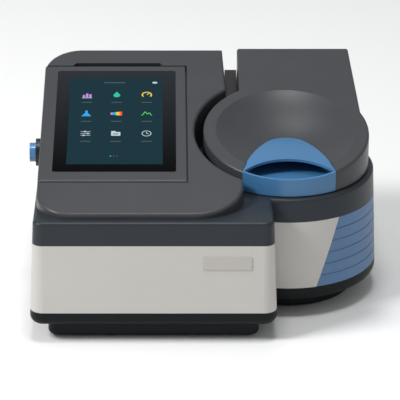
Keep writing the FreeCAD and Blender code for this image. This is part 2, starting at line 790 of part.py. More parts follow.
def flat_block(name, x, y, depth_low, depth_high):
    """A box drawn on the slope: x across, y up the slope, depths below it."""
    owner = body(name)
    sketch = sketch_on(owner, name + "_outline", level=-measure(depth_high))
    draw_rectangle(sketch, x[0], x[1], y[0], y[1])
    pad(owner, sketch, measure(depth_high) - depth_low)
    return on_slope(owner)


plate_end = size.glass_start + size.glass_length + size.plate_top_margin
plate_half = size.plate_thickness / 2
rod_run = size.plate_start + plate_half
cover_left = size.lcd_left - size.display_cover_margin
cover_right = size.lcd_left + size.lcd_width + size.display_cover_margin
cover_start = size.lcd_start - size.display_cover_margin
cover_end = size.lcd_start + size.lcd_length + size.display_cover_margin
knuckle_places = [size.console_left + size.knuckle_inset,
                  size.plate_right - size.knuckle_inset - size.knuckle_width]


def slope_rod(name, radius, left, right, run, depth):
    """A rod across the slope at a place up the slope and a depth below it."""
    owner = body(name)
    sketch = sketch_on(owner, name + "_circle", "YZ_Plane", left)
    draw_circle(sketch, run, -measure(depth), radius)
    pad(owner, sketch, measure(right) - left)
    return on_slope(owner)


def finger_scoop():
    """Scoop above the plate with slanted ends, for a finger to lift the display."""
    owner = body("finger_scoop")
    sketch = sketch_on(owner, "scoop_outline", level=-size.scoop_depth)
    right = size.scoop_left + size.scoop_width
    far = plate_end + size.scoop_length
    draw_polygon(sketch, [(size.scoop_left, plate_end - 2), (right, plate_end - 2),
                          (right, plate_end), (right - size.scoop_slant, far),
                          (size.scoop_left + size.scoop_slant, far), (size.scoop_left, plate_end)])
    pad(owner, sketch, size.scoop_depth + 5)
    return on_slope(owner)


def console_cover():
    """Sloping console with the sunk seat of the display, its hinge knuckles and the button's hole."""
    outer = console_body("console_outside", ZERO, ZERO, ZERO)
    rounded_edges(outer, size.console_rounding, on_slope_edge)
    inner = console_body("console_inside", size.wall, size.wall, measure(-1))
    shell = cut("console_shell", outer, inner)
    gap, floor = size.plate_gap, size.plate_thickness + 0.4
    seat_x = (size.console_left - 5, size.plate_right + gap)
    seat_y = (size.plate_start - gap, plate_end + gap)
    room = size.display_well_gap
    well_x = (cover_left - room, cover_right + room)
    well_y = (cover_start - room, cover_end + room)
    well_depth = size.display_depth + room

    def grown(pair):
        return (pair[0] - size.wall, pair[1] + size.wall)

    lining = fuse("display_lining",
                  flat_block("seat_lining", grown(seat_x), grown(seat_y), 1, floor + size.wall),
                  flat_block("well_lining", grown(well_x), grown(well_y), 1, well_depth + size.wall),
                  flat_block("scoop_lining",
                             grown((size.scoop_left, size.scoop_left + size.scoop_width)),
                             (plate_end, plate_end + size.scoop_length + size.wall),
                             1, size.scoop_depth + size.wall))
    lined = fuse("console_lined", shell, common("lining_inside_console", lining, outer))
    hole = rod("button_hole", size.button_flange + size.seat_gap * 2, size.wall * 6,
               size.console_left - size.wall * 2, size.button_middle_y, size.button_middle_z, "x")
    sunk = cut("console_sunk", lined, hole, finger_scoop(),
               flat_block("seat_room", seat_x, seat_y, -20, floor),
               flat_block("well_room", well_x, well_y, -20, well_depth))
    knuckles = []
    for number, left in enumerate(knuckle_places):
        right = left + size.knuckle_width
        knuckles.append(slope_rod("knuckle_%d" % number, size.knuckle_radius, left, right,
                                  rod_run, plate_half))
        knuckles.append(flat_block("knuckle_web_%d" % number, (left, right),
                                   (rod_run - size.hinge_rod_radius, rod_run + size.knuckle_radius),
                                   plate_half, floor + size.wall / 2))
    bore = slope_rod("knuckle_bore", size.hinge_rod_radius, knuckle_places[0] - 1,
                     knuckle_places[1] + size.knuckle_width + 1, rod_run, plate_half)
    return piece(cut("console_cover", fuse("console_with_knuckles", sunk, *knuckles), bore),
                 "console_cover")


def display_bezel():
    """Plate with a round lower edge about its hinge rod and a seat for the cover glass."""
    plate = body("display_bezel")
    profile = sketch_on(plate, "plate_profile", "YZ_Plane", size.console_left)
    start, middle = size.plate_start.number, rod_run.number
    thick, end = size.plate_thickness.number, plate_end.number
    draw_edges(profile, [Part.LineSegment(Vector(middle, 0, 0), Vector(end, 0, 0)),
                         Part.LineSegment(Vector(end, 0, 0), Vector(end, -thick, 0)),
                         Part.LineSegment(Vector(end, -thick, 0), Vector(middle, -thick, 0)),
                         Part.Arc(Vector(middle, -thick, 0), Vector(start, -thick / 2, 0),
                                  Vector(middle, 0, 0))])
    pad(plate, profile, size.plate_right - size.console_left)
    rounded_edges(plate, size.plate_rounding,
                  lambda edge: edge.BoundBox.ZMax > -0.01
                  and edge.BoundBox.XMax < size.console_left.number + 0.01
                  and edge.BoundBox.YMin < end - 1)
    seat = sketch_on(plate, "glass_seat")
    gap = size.seat_gap
    draw_rounded(seat, size.glass_left - gap, size.glass_left + size.glass_width + gap,
                 size.glass_start - gap, size.glass_start + size.glass_length + gap, size.wall)
    pocket(plate, seat, size.glass_thickness)
    window = sketch_on(plate, "lcd_window")
    draw_rectangle(window, size.lcd_left - gap, size.lcd_left + size.lcd_width + gap,
                   size.lcd_start - gap, size.lcd_start + size.lcd_length + gap)
    pocket(plate, window, size.plate_thickness + 1)
    bore = sketch_on(plate, "rod_bore", "YZ_Plane", knuckle_places[0] - size.knuckle_width)
    draw_circle(bore, rod_run, -plate_half, size.hinge_rod_radius + size.running_gap)
    reach = knuckle_places[1] - knuckle_places[0] + size.knuckle_width * 3
    pocket(plate, bore, reach, Reversed=True)
    for number, left in enumerate(knuckle_places):
        notch = sketch_on(plate, "knuckle_notch_%d" % number, "YZ_Plane", left - gap)
        draw_circle(notch, rod_run, -plate_half, size.knuckle_radius + size.seat_gap)
        pocket(plate, notch, size.knuckle_width + gap * 2, Reversed=True)
        mouth = sketch_on(plate, "knuckle_mouth_%d" % number, "YZ_Plane", left - gap)
        draw_rectangle(mouth, size.plate_start - 1, rod_run + size.knuckle_radius + gap,
                       -size.plate_thickness - 1, -plate_half)
        pocket(plate, mouth, size.knuckle_width + gap * 2, Reversed=True)
    return piece(on_slope(plate), "display_bezel")


def display_glass():
    """Cover glass, flush with the plate."""
    glass = body("display_glass")
    sketch = sketch_on(glass, "glass_outline", level=-size.glass_thickness)
    draw_rounded(sketch, size.glass_left, size.glass_left + size.glass_width, size.glass_start,
                 size.glass_start + size.glass_length, size.wall - size.seat_gap)
    pad(glass, sketch, size.glass_thickness)
    return piece(on_slope(glass), "display_glass")


def display_inside():
    """Display module under the glass, its driver board and the cover behind them."""
    module_low = size.glass_thickness + size.lcd_thickness
    board_low = module_low + size.display_board_thickness
    module = flat_block("lcd_module", (size.lcd_left, size.lcd_left + size.lcd_width),
                        (size.lcd_start, size.lcd_start + size.lcd_length),
                        size.glass_thickness, module_low)
    margin = size.display_cover_margin * 2
    board = flat_block("display_board",
                       (size.lcd_left + margin, size.lcd_left + size.lcd_width - margin),
                       (size.lcd_start + margin, size.lcd_start + size.lcd_length - margin),
                       module_low, board_low)
    outside = flat_block("cover_outside", (cover_left, cover_right), (cover_start, cover_end),
                         size.plate_thickness, size.display_depth)
    thin = size.display_cover_margin - 0.5
    inside = flat_block("cover_inside", (cover_left + thin, cover_right - thin),
                        (cover_start + thin, cover_end - thin),
                        0, size.display_depth - size.display_cover_margin / 2)
    piece(module, "lcd_module")
    piece(board, "display_board")
    piece(cut("display_back_cover", outside, inside), "display_back_cover")
    piece(slope_rod("display_hinge_rod", size.hinge_rod_radius, knuckle_places[0] - 4,
                    knuckle_places[1] + size.knuckle_width + 4, rod_run, plate_half),
          "display_hinge_rod")


def power_button():
    """Sprung button in a raised ring on the console's left wall, and the switch it presses."""
    y, z = size.button_middle_y, size.button_middle_z
    wall_inside = size.console_left + size.wall
    ring_start = size.console_left - size.button_ring_proud
    ring = cut("button_ring",
               fuse("ring_outside",
                    rod("ring_rim", size.button_ring_radius, size.button_ring_proud,
                        ring_start, y, z, "x"),
                    rod("ring_collar", size.button_flange + size.seat_gap,
                        size.button_ring_proud + size.wall, ring_start, y, z, "x")),
               rod("ring_bore", size.button_radius + size.seat_gap,
                   size.button_proud * 3, size.console_left - size.button_proud, y, z, "x"))
    piece(ring, "button_ring")
    start = size.console_left - size.button_proud
    flange_start = wall_inside + 0.1
    cap = fuse("button_cap",
               rod("button_face", size.button_radius, flange_start - start + size.wall, start, y, z, "x"),
               rod("button_flange_disc", size.button_flange, size.wall, flange_start, y, z, "x"))
    piece(cap, "power_button")
    switch_start = flange_start + size.wall + size.button_travel + 0.3
    switch_width = size.button_flange
    lining_face = cover_left - size.display_well_gap - size.wall
    piece(block("power_switch", (switch_start, lining_face),
                (y - switch_width / 2, y + switch_width / 2),
                (z - switch_width / 2, z + switch_width / 2)), "power_switch")
# The round lid with its neck

drum_x, drum_y = size.drum_middle_x, size.drum_middle_y


def lid_form(name, inset, below, above):
    """Disc and neck between the deck and the slope, all walls moved in by inset."""
    owner = body(name)
    disc = sketch_on(owner, name + "_disc", level=LOW)
    draw_circle(disc, drum_x, drum_y, size.lid_radius - inset)
    pad(owner, disc, HIGH - LOW)
    neck = sketch_on(owner, name + "_neck", level=LOW)
    right, back = size.lid_neck_right - inset, size.back_wall - inset
    flare_y = drum_y + size.lid_radius / 3
    draw_polygon(neck, [(size.lid_neck_left + inset, drum_y + size.lid_radius / 2), (drum_x, drum_y),
                        (right + size.lid_neck_flare, flare_y), (right, back),
                        (size.lid_neck_left + inset, back)])
    pad(owner, neck, HIGH - LOW)
    trim_above(owner, name + "_slope", below)
    trim_below(owner, name + "_deck", above)
    return owner


def corner_of_handle():
    """How far in front of the compartment's axis the handle's corners lie on the lid's rim."""
    half = size.handle_half_width
    return drum_y - root(size.lid_radius * size.lid_radius - half * half)


handle_corner_y = corner_of_handle()


def handle_edges(inset):
    """Plan of the handle about the lid's axis: two long side arcs that run into a round nose."""
    nose, flank = size.handle_nose_radius.number, size.handle_flank_radius.number
    half, rim = size.handle_half_width.number, size.lid_radius.number
    corner_y, axis_y, axis_x = handle_corner_y.number, drum_y.number, drum_x.number
    nose_y = corner_y + size.handle_reach.number - nose
    reach = math.hypot(half, nose_y - corner_y)
    along = ((flank - nose) ** 2 - flank ** 2 + reach ** 2) / (2 * reach)
    aside = math.sqrt((flank - nose) ** 2 - along ** 2)
    right, forward = half / reach, (corner_y - nose_y) / reach
    flank_x = along * right + aside * forward
    flank_y = nose_y + along * forward - aside * right
    turn = math.atan2(nose_y - flank_y, -flank_x)
    start = math.asin((axis_y - rim * 1.1 - flank_y) / (flank - inset))
    edges, ends = [], []
    for side in (1, -1):
        circle = Part.Circle(Vector(axis_x + side * flank_x, flank_y, 0), Vector(0, 0, 1), flank - inset)
        low, high = (start, turn) if side > 0 else (math.pi - turn, math.pi - start)
        edges.append(Part.ArcOfCircle(circle, low, high))
        ends.append(circle.value(start if side > 0 else math.pi - start))
    tip = Part.Circle(Vector(axis_x, nose_y, 0), Vector(0, 0, 1), nose - inset)
    edges.append(Part.ArcOfCircle(tip, turn, math.pi - turn))
    edges.append(Part.LineSegment(*ends))
    return edges


def handle_prism(name, inset, low, high):
    """The handle seen from above: a tongue from the lid's rim back into the dish."""
    inset = measure(inset)
    tongue = body(name + "_tongue")
    plan = sketch_on(tongue, name + "_plan", level=low)
    draw_edges(plan, handle_edges(inset.number))
    pad(tongue, plan, high - low)
    rim = rod(name + "_rim", size.lid_radius - inset, high - low, drum_x, drum_y, low)
    return common(name, rim, tongue)


def lid_shell():
    """Dished lid with its neck: hollow below, with round ends of its side walls at the hinge."""
    outer = lid_form("lid_outside", ZERO, ZERO, size.lid_gap)
    rounded_edges(outer, size.lid_rounding,
                  lambda edge: on_slope_edge(edge) and edge.BoundBox.YLength > size.lid_rounding.number)
    inner = lid_form("lid_inside", size.wall, size.wall, measure(-1))
    middle_z = slope_at(drum_y)
    ball = (size.dish_radius * size.dish_radius + size.dish_depth * size.dish_depth) / (size.dish_depth * 2)
    lift = ball - size.dish_depth

    def dish(name, grown):
        sphere = doc.addObject("Part::Sphere", name)
        bind(sphere, "Radius", ball + grown)
        sine = slope_rise * slope_run
        return place(sphere, drum_x, drum_y - lift * sine, middle_z + lift * slope_run)

    hollow = cut("lid_hollow", inner, dish("dish_underside", size.wall))
    under_hinge = block("lid_hinge_cut", (size.lid_neck_left - 5, size.lid_neck_right + 10),
                        (hinge_y, size.back_wall + 5), (seam, size.hinge_height))
    round_end = rod("lid_round_end", size.hinge_setback, WIDE, ZERO, hinge_y, size.hinge_height, "x")
    between = block("lid_open_back", (size.lid_neck_left + size.wall, size.lid_neck_right - size.wall),
                    (hinge_y - size.wall, size.back_wall + 5), (seam, size.hinge_height))
    bore = rod("lid_pin_hole", size.hinge_pin_radius + size.running_gap, WIDE, ZERO, hinge_y,
               size.hinge_height, "x")
    shell = cut("lid_shell", outer, hollow, dish("dish", ZERO), between,
                cut("lid_corner_cut", under_hinge, round_end),
                handle_prism("handle_room", -size.running_gap * 2, LOW, HIGH))
    return piece(shell, "lid_shell")


def hood_ball(name, inset):
    """Ball whose surface is the hood: it leaves the slope just inside the mouth and drops to the nose."""
    half, reach = size.handle_half_width, size.handle_hood_reach / slope_run
    crease = (half * half + reach * reach) / (reach * 2)
    middle = reach - crease - size.handle_lip
    back = size.handle_reach / slope_run - middle
    drop = size.handle_nose_drop
    sunk = (back * back + drop * drop - crease * crease) / (drop * 2)
    ball = doc.addObject("Part::Sphere", name)
    bind(ball, "Radius", root(crease * crease + sunk * sunk) - inset)
    sine = slope_rise * slope_run
    return place(ball, drum_x, handle_corner_y + middle * slope_run + sunk * sine,
                 slope_at(handle_corner_y) + middle * sine - sunk * slope_run)


def lid_handle():
    """Blue handle: a hood over an eye-shaped finger pocket, and a front wall in line with the rim."""
    seat = common("handle_seat",
                  rod("handle_seat_round", size.lid_radius - size.wall, HIGH - LOW, drum_x, drum_y, LOW),
                  side_band("handle_seat_band", deck_line(ZERO),
                            deck_line(size.lid_gap + size.wall + size.seat_gap)))
    blank = cut("handle_blank", common("handle_block", handle_prism("handle_outline", 0, LOW, HIGH),
                                       lid_form("handle_limits", ZERO, ZERO, size.lid_gap)), seat)
    half, reach = size.handle_half_width, size.handle_hood_reach
    edge_radius = (half * half + reach * reach) / (2 * reach)
    edge_y = handle_corner_y + reach - edge_radius
    in_front = rod("hood_front_edge", edge_radius, HIGH - LOW, drum_x, edge_y, LOW)
    room = handle_prism("pocket_outline", size.handle_lip, LOW, HIGH)
    mouth = common("pocket_mouth", room, in_front)
    under = common("pocket_under_hood", room, hood_ball("pocket_roof", size.handle_hood_thickness))
    floor_z = slope_at(handle_corner_y + reach) - size.handle_pocket_depth - size.handle_hood_thickness
    pocket_room = cut("pocket_room", fuse("pocket_all", mouth, under),
                      block("pocket_floor", (-WIDE, WIDE), (-WIDE, WIDE), (LOW - 1, floor_z)))
    return piece(cut("lid_handle", common("handle_crowned", blank, hood_ball("hood_top", ZERO)),
                     pocket_room), "lid_handle")


def lid_inside():
    """Dark plate that closes the lid from below, and the light trap ring on it."""
    level = size.wall
    disc = common("liner_disc",
                  rod("liner_round", size.lid_radius - size.wall - size.seat_gap, HIGH - LOW,
                      drum_x, drum_y, LOW),
                  side_band("liner_band", deck_line(size.lid_gap), deck_line(size.lid_gap + level)))
    ring = common("trap_ring",
                  cut("trap_round",
                      rod("trap_outside", size.well_radius - size.wall, HIGH - LOW, drum_x, drum_y, LOW),
                      rod("trap_inside", size.well_radius - size.wall * 2, HIGH - LOW, drum_x, drum_y, LOW)),
                  side_band("trap_band", deck_line(-size.wall), deck_line(size.lid_gap)))
    return piece(fuse("lid_liner", disc, ring), "lid_liner")


neck_middle = (size.lid_neck_left + size.lid_neck_right) / 2
post_places = [neck_middle - size.hinge_spread - size.hinge_post_width,
               neck_middle + size.hinge_spread]
arm_places = [post_places[0] + size.hinge_post_width + size.seat_gap,
              post_places[1] - size.hinge_arm_width - size.seat_gap]


def lid_hinge():
    """Pin held in two posts on the deck, with the lid's lugs running between them."""
    z, y = size.hinge_height, hinge_y
    base_top = deck_at(y) + size.wall
    posts = []
    for number, left in enumerate(post_places):
        right = left + size.hinge_post_width
        posts.append(rod("post_eye_%d" % number, size.hinge_post_radius, size.hinge_post_width,
                         left, y, z, "x"))
        posts.append(block("post_stem_%d" % number, (left, right),
                           (y - size.hinge_post_radius, y + size.wall), (LOW, z)))
    posts.append(block("post_base", (post_places[0], post_places[1] + size.hinge_post_width),
                       (y - size.hinge_post_radius, y + size.wall), (LOW, base_top)))
    above_deck = side_band("above_deck", deck_line(ZERO), level_line(HIGH))
    bracket = cut("hinge_bracket", common("posts_on_deck", fuse("posts", *posts), above_deck),
                  rod("post_bore", size.hinge_pin_radius, WIDE, ZERO, y, z, "x"))
    piece(bracket, "hinge_bracket")
    piece(rod("hinge_pin", size.hinge_pin_radius,
              post_places[1] - post_places[0] + size.hinge_post_width, post_places[0], y, z, "x"),
          "hinge_pin")
    arms = []
    for number, left in enumerate(arm_places):
        right = left + size.hinge_arm_width
        arms.append(rod("arm_eye_%d" % number, size.hinge_arm_radius, size.hinge_arm_width,
                        left, y, z, "x"))
        arms.append(block("arm_%d" % number, (left, right),
                          (y - size.hinge_arm_radius, y + size.hinge_arm_radius), (z, HIGH)))
    arms.append(common("arm_tie_under_lid",
                       block("arm_tie", (arm_places[0], arm_places[1] + size.hinge_arm_width),
                             (y - size.hinge_arm_radius, y + size.hinge_arm_radius), (z, HIGH)),
                       side_band("tie_band", slope_line(size.wall * 2), slope_line(size.wall))))
    limits = side_band("under_lid", level_line(LOW), slope_line(size.wall))
    piece(cut("lid_hinge_arms", common("arms_under_lid", fuse("arms", *arms), limits),
              rod("arm_bore", size.hinge_pin_radius + size.running_gap, WIDE, ZERO, y, z, "x")),
          "lid_hinge_arms")


def rear_spine():
    """Fixed spine in the gap between the console and the lid's neck."""
    gap = size.seat_gap
    raw = block("spine_block", (size.console_neck_right + gap, size.lid_neck_left - gap * 2),
                (size.spine_front, size.back_wall), (LOW, HIGH))
    return piece(common("rear_spine", raw,
                        side_band("spine_band", deck_line(ZERO), slope_line(size.spine_drop))),
                 "rear_spine")
# The sample compartment, its cell turret and the turret's drive

def sample_well():
    """Black tub under the lid, with light windows and a hole for the turret's bush."""
    low = size.well_floor - size.well_wall
    outer = rod("well_outside", size.well_radius + size.well_wall, HIGH - low, drum_x, drum_y, low)
    inner = rod("well_inside", size.well_radius, HIGH, drum_x, drum_y, size.well_floor)
    under_deck = side_band("well_limits", level_line(low), deck_line(-size.wall))
    beam_x = drum_x - size.turret_pitch
    beam = rod("well_beam_hole", size.cell_window_width + size.seat_gap, size.well_radius * 3, beam_x,
               drum_y - size.well_radius * 1.5, size.beam_height, "y")
    bush = rod("well_bush_hole", size.spindle_radius * 2, size.well_wall * 3, drum_x, drum_y,
               low - size.well_wall)
    return piece(cut("sample_well", common("well_blank", outer, under_deck), inner, beam, bush),
                 "sample_well")


beam_x = drum_x - size.turret_pitch
window_y = root(size.well_radius * size.well_radius - size.turret_pitch * size.turret_pitch)


def beam_windows():
    """Round silica windows on the outside of the well, where the beam goes in and out."""
    depth = size.well_wall * 3
    discs = []
    for number, side in enumerate((-1, 1)):
        start = drum_y + side * window_y - depth / 2 + side * depth / 4
        discs.append(rod("window_%d" % number, size.cell_window_width, depth, beam_x, start,
                         size.beam_height, "y"))
    well = rod("window_limits", size.well_radius, HIGH - LOW + 60, drum_x, drum_y, LOW - 60)
    return piece(group("beam_windows", *[cut("window_outside_%d" % n, disc, well)
                                         for n, disc in enumerate(discs)]), "beam_windows")


def at_drum(owner, level=0):
    """Put a body that is drawn about its own axis onto the compartment's axis."""
    return place(owner, drum_x, drum_y, level)


def cell_turret():
    """Turret disc with eight square cell holders, each with a pocket and light windows."""
    turret = body("cell_turret")
    low = size.well_floor + size.turret_lift
    top = size.beam_height + size.cell_holder_top
    disc = sketch_on(turret, "turret_disc", level=low)
    draw_circle(disc, 0, 0, size.turret_radius)
    pad(turret, disc, size.turret_disc_thickness)
    hub = sketch_on(turret, "turret_hub", level=low)
    draw_circle(hub, 0, 0, size.knob_radius + size.wall)
    pad(turret, hub, size.turret_disc_thickness * 2)
    half = size.cell_holder_width / 2
    holder = sketch_on(turret, "cell_holder", level=low)
    draw_rectangle(holder, -size.turret_pitch - half, -size.turret_pitch + half, -half, half)
    holder_pad = pad(turret, holder, top - low)
    half = size.cell_width / 2
    room = sketch_on(turret, "cell_room", level=size.beam_height - size.cell_drop)
    draw_rectangle(room, -size.turret_pitch - half, -size.turret_pitch + half, -half, half)
    room_cut = pocket(turret, room, top, Reversed=True)
    wide, high = size.cell_window_width / 2, size.cell_window_height / 2
    light = sketch_on(turret, "cell_window", "XZ_Plane", -size.cell_holder_width)
    draw_rectangle(light, -size.turret_pitch - wide, -size.turret_pitch + wide,
                   size.beam_height - high, size.beam_height + high)
    light_cut = pocket(turret, light, size.cell_holder_width * 2, Reversed=True)
    pattern = turret.newObject("PartDesign::PolarPattern", "cell_pattern")
    pattern.Originals = [holder_pad, room_cut, light_cut]
    pattern.Axis = (disc, ["N_Axis"])
    pattern.Angle = 360
    bind(pattern, "Occurrences", size.turret_positions)
    turret.Tip = pattern
    bore = sketch_on(turret, "turret_bore", level=low - 1)
    draw_circle(bore, 0, 0, size.spindle_radius)
    pocket(turret, bore, size.turret_disc_thickness * 3, Reversed=True)
    return piece(at_drum(turret), "cell_turret")


def turret_knob():
    """Turned knob that lifts the turret out: a waisted grip over its hub."""
    knob = body("turret_knob")
    low = size.well_floor + size.turret_lift + size.turret_disc_thickness * 2
    profile = sketch_on(knob, "knob_profile", "XZ_Plane")
    r, waist = size.knob_radius, size.knob_radius * 0.7
    high = size.knob_height
    draw_polygon(profile, [(0, low), (r, low), (r, low + high * 0.2), (waist, low + high * 0.45),
                           (waist, low + high * 0.6), (r * 0.9, low + high * 0.85),
                           (r * 0.8, low + high), (0, low + high)])
    turned = knob.newObject("PartDesign::Revolution", "knob_turned")
    turned.Profile = profile
    turned.ReferenceAxis = (profile, ["V_Axis"])
    turned.Angle = 360
    return piece(at_drum(knob), "turret_knob")


def tooth_points(teeth, gap_share):
    """Half-widths of a straight-flanked tooth at its root and tip, and those two radii."""
    module = size.gear_module
    pitch_radius = module * teeth / 2
    thickness = module * math.pi * (1 - gap_share) / 2
    slant = tangent(measure(20))
    return (pitch_radius - module * 1.25, pitch_radius + module * 0.8,
            thickness / 2 + module * 1.25 * slant, thickness / 2 - module * 0.8 * slant)


def gear(name, teeth, bore):
    """A spur gear about its own axis: a blank with one tooth, repeated round it."""
    wheel = body(name)
    root_radius, tip_radius, root_half, tip_half = tooth_points(teeth, size.gear_backlash)
    blank = sketch_on(wheel, name + "_blank", level=size.gear_level)
    draw_circle(blank, 0, 0, root_radius)
    pad(wheel, blank, size.gear_face)
    tooth = sketch_on(wheel, name + "_tooth", level=size.gear_level)
    start = root_radius - size.gear_module
    draw_polygon(tooth, [(start, -root_half), (root_radius, -root_half), (tip_radius, -tip_half),
                         (tip_radius, tip_half), (root_radius, root_half), (start, root_half)])
    tooth_pad = pad(wheel, tooth, size.gear_face)
    pattern = wheel.newObject("PartDesign::PolarPattern", name + "_teeth")
    pattern.Originals = [tooth_pad]
    pattern.Axis = (blank, ["N_Axis"])
    pattern.Angle = 360
    bind(pattern, "Occurrences", teeth)
    wheel.Tip = pattern
    hole = sketch_on(wheel, name + "_bore", level=size.gear_level - 1)
    draw_circle(hole, 0, 0, bore)
    pocket(wheel, hole, size.gear_face * 2, Reversed=True)
    return wheel


pinion_bore = size.spindle_radius / 2
gear_distance = size.gear_module * (size.gear_teeth + size.pinion_teeth) / 2 + 0.1
motor_x, motor_y = drum_x + gear_distance, drum_y


def turret_drive():
    """Spindle in its bush, wheel, and the motor whose pinion turns it."""
    low = size.well_floor - size.well_wall
    bush_low = low - size.well_wall
    spindle_low = size.gear_level - 2
    bush = cut("turret_bearing",
               fuse("bush_outside",
                    rod("bush_body", size.spindle_radius * 2, size.well_floor + 0.5 - bush_low,
                        drum_x, drum_y, bush_low),
                    rod("bush_flange", size.spindle_radius * 3, size.well_wall, drum_x, drum_y, bush_low)),
               rod("bush_bore", size.spindle_radius + size.running_gap, HIGH, drum_x, drum_y,
                   bush_low - 1))
    piece(bush, "turret_bearing")
    spindle_top = size.well_floor + size.turret_lift + size.turret_disc_thickness * 2
    piece(rod("turret_spindle", size.spindle_radius, spindle_top - spindle_low, drum_x, drum_y,
              spindle_low), "turret_spindle")
    piece(at_drum(gear("turret_gear", size.gear_teeth, size.spindle_radius)), "turret_gear")
    pinion = gear("pinion_wheel", size.pinion_teeth, pinion_bore)
    half_tooth = Measure(180 / size.pinion_teeth.number, "(180 / sizes.pinion_teeth)")
    place(pinion, motor_x, motor_y, 0, half_tooth, Vector(0, 0, 1))
    plate_top = size.gear_level - size.gear_module
    plate_low = plate_top - size.wall
    shaft = rod("pinion_shaft", pinion_bore, size.gear_level + size.gear_face - plate_low + 1,
                motor_x, motor_y, plate_low - 1)
    piece(fuse("motor_pinion", pinion, shaft), "motor_pinion")
    motor_low = plate_low - size.motor_height
    motor = cut("turret_motor", rod("motor_can", size.motor_radius, size.motor_height, motor_x, motor_y,
                                    motor_low),
                rod("motor_shaft_hole", pinion_bore + size.running_gap, size.wall, motor_x, motor_y,
                    plate_low - 1.2))
    piece(motor, "turret_motor")
    half = size.motor_radius
    post = size.motor_radius / 4
    reach = size.gear_module * size.pinion_teeth / 2
    plate = block("bracket_plate", (motor_x - half, motor_x + half - post), (motor_y - half - post * 4,
                  motor_y + half + post * 4), (plate_low, plate_top))
    posts = [block("bracket_post_%d" % n, (motor_x - half, motor_x - half + post * 2),
                   (y, y + post), (plate_low, low))
             for n, y in enumerate((motor_y - half - post * 4, motor_y + half + post * 3))]
    hole = rod("bracket_hole", reach / 2, size.wall * 3, motor_x, motor_y, plate_low - 1)
    piece(cut("motor_bracket", fuse("bracket_blank", plate, *posts), hole), "motor_bracket")
# Optics on their plate, left of and behind the sample well

plate_top = size.plate_level + size.optics_thickness
PLATE_LEFT, PLATE_RIGHT = size.box_left + 14, drum_x - size.well_radius - 8
PLATE_FRONT, PLATE_BACK = size.front_wall + 22, size.back_wall - 24


def standing(name, x, y, width, depth, height, turned=0):
    """A rectangular piece that stands on the optics plate, turned about its own middle."""
    owner = body(name)
    sketch = sketch_on(owner, name + "_outline")
    width, depth = measure(width), measure(depth)
    draw_rectangle(sketch, -width / 2, width / 2, -depth / 2, depth / 2)
    pad(owner, sketch, height)
    return place(owner, x, y, plate_top, turned, Vector(0, 0, 1))


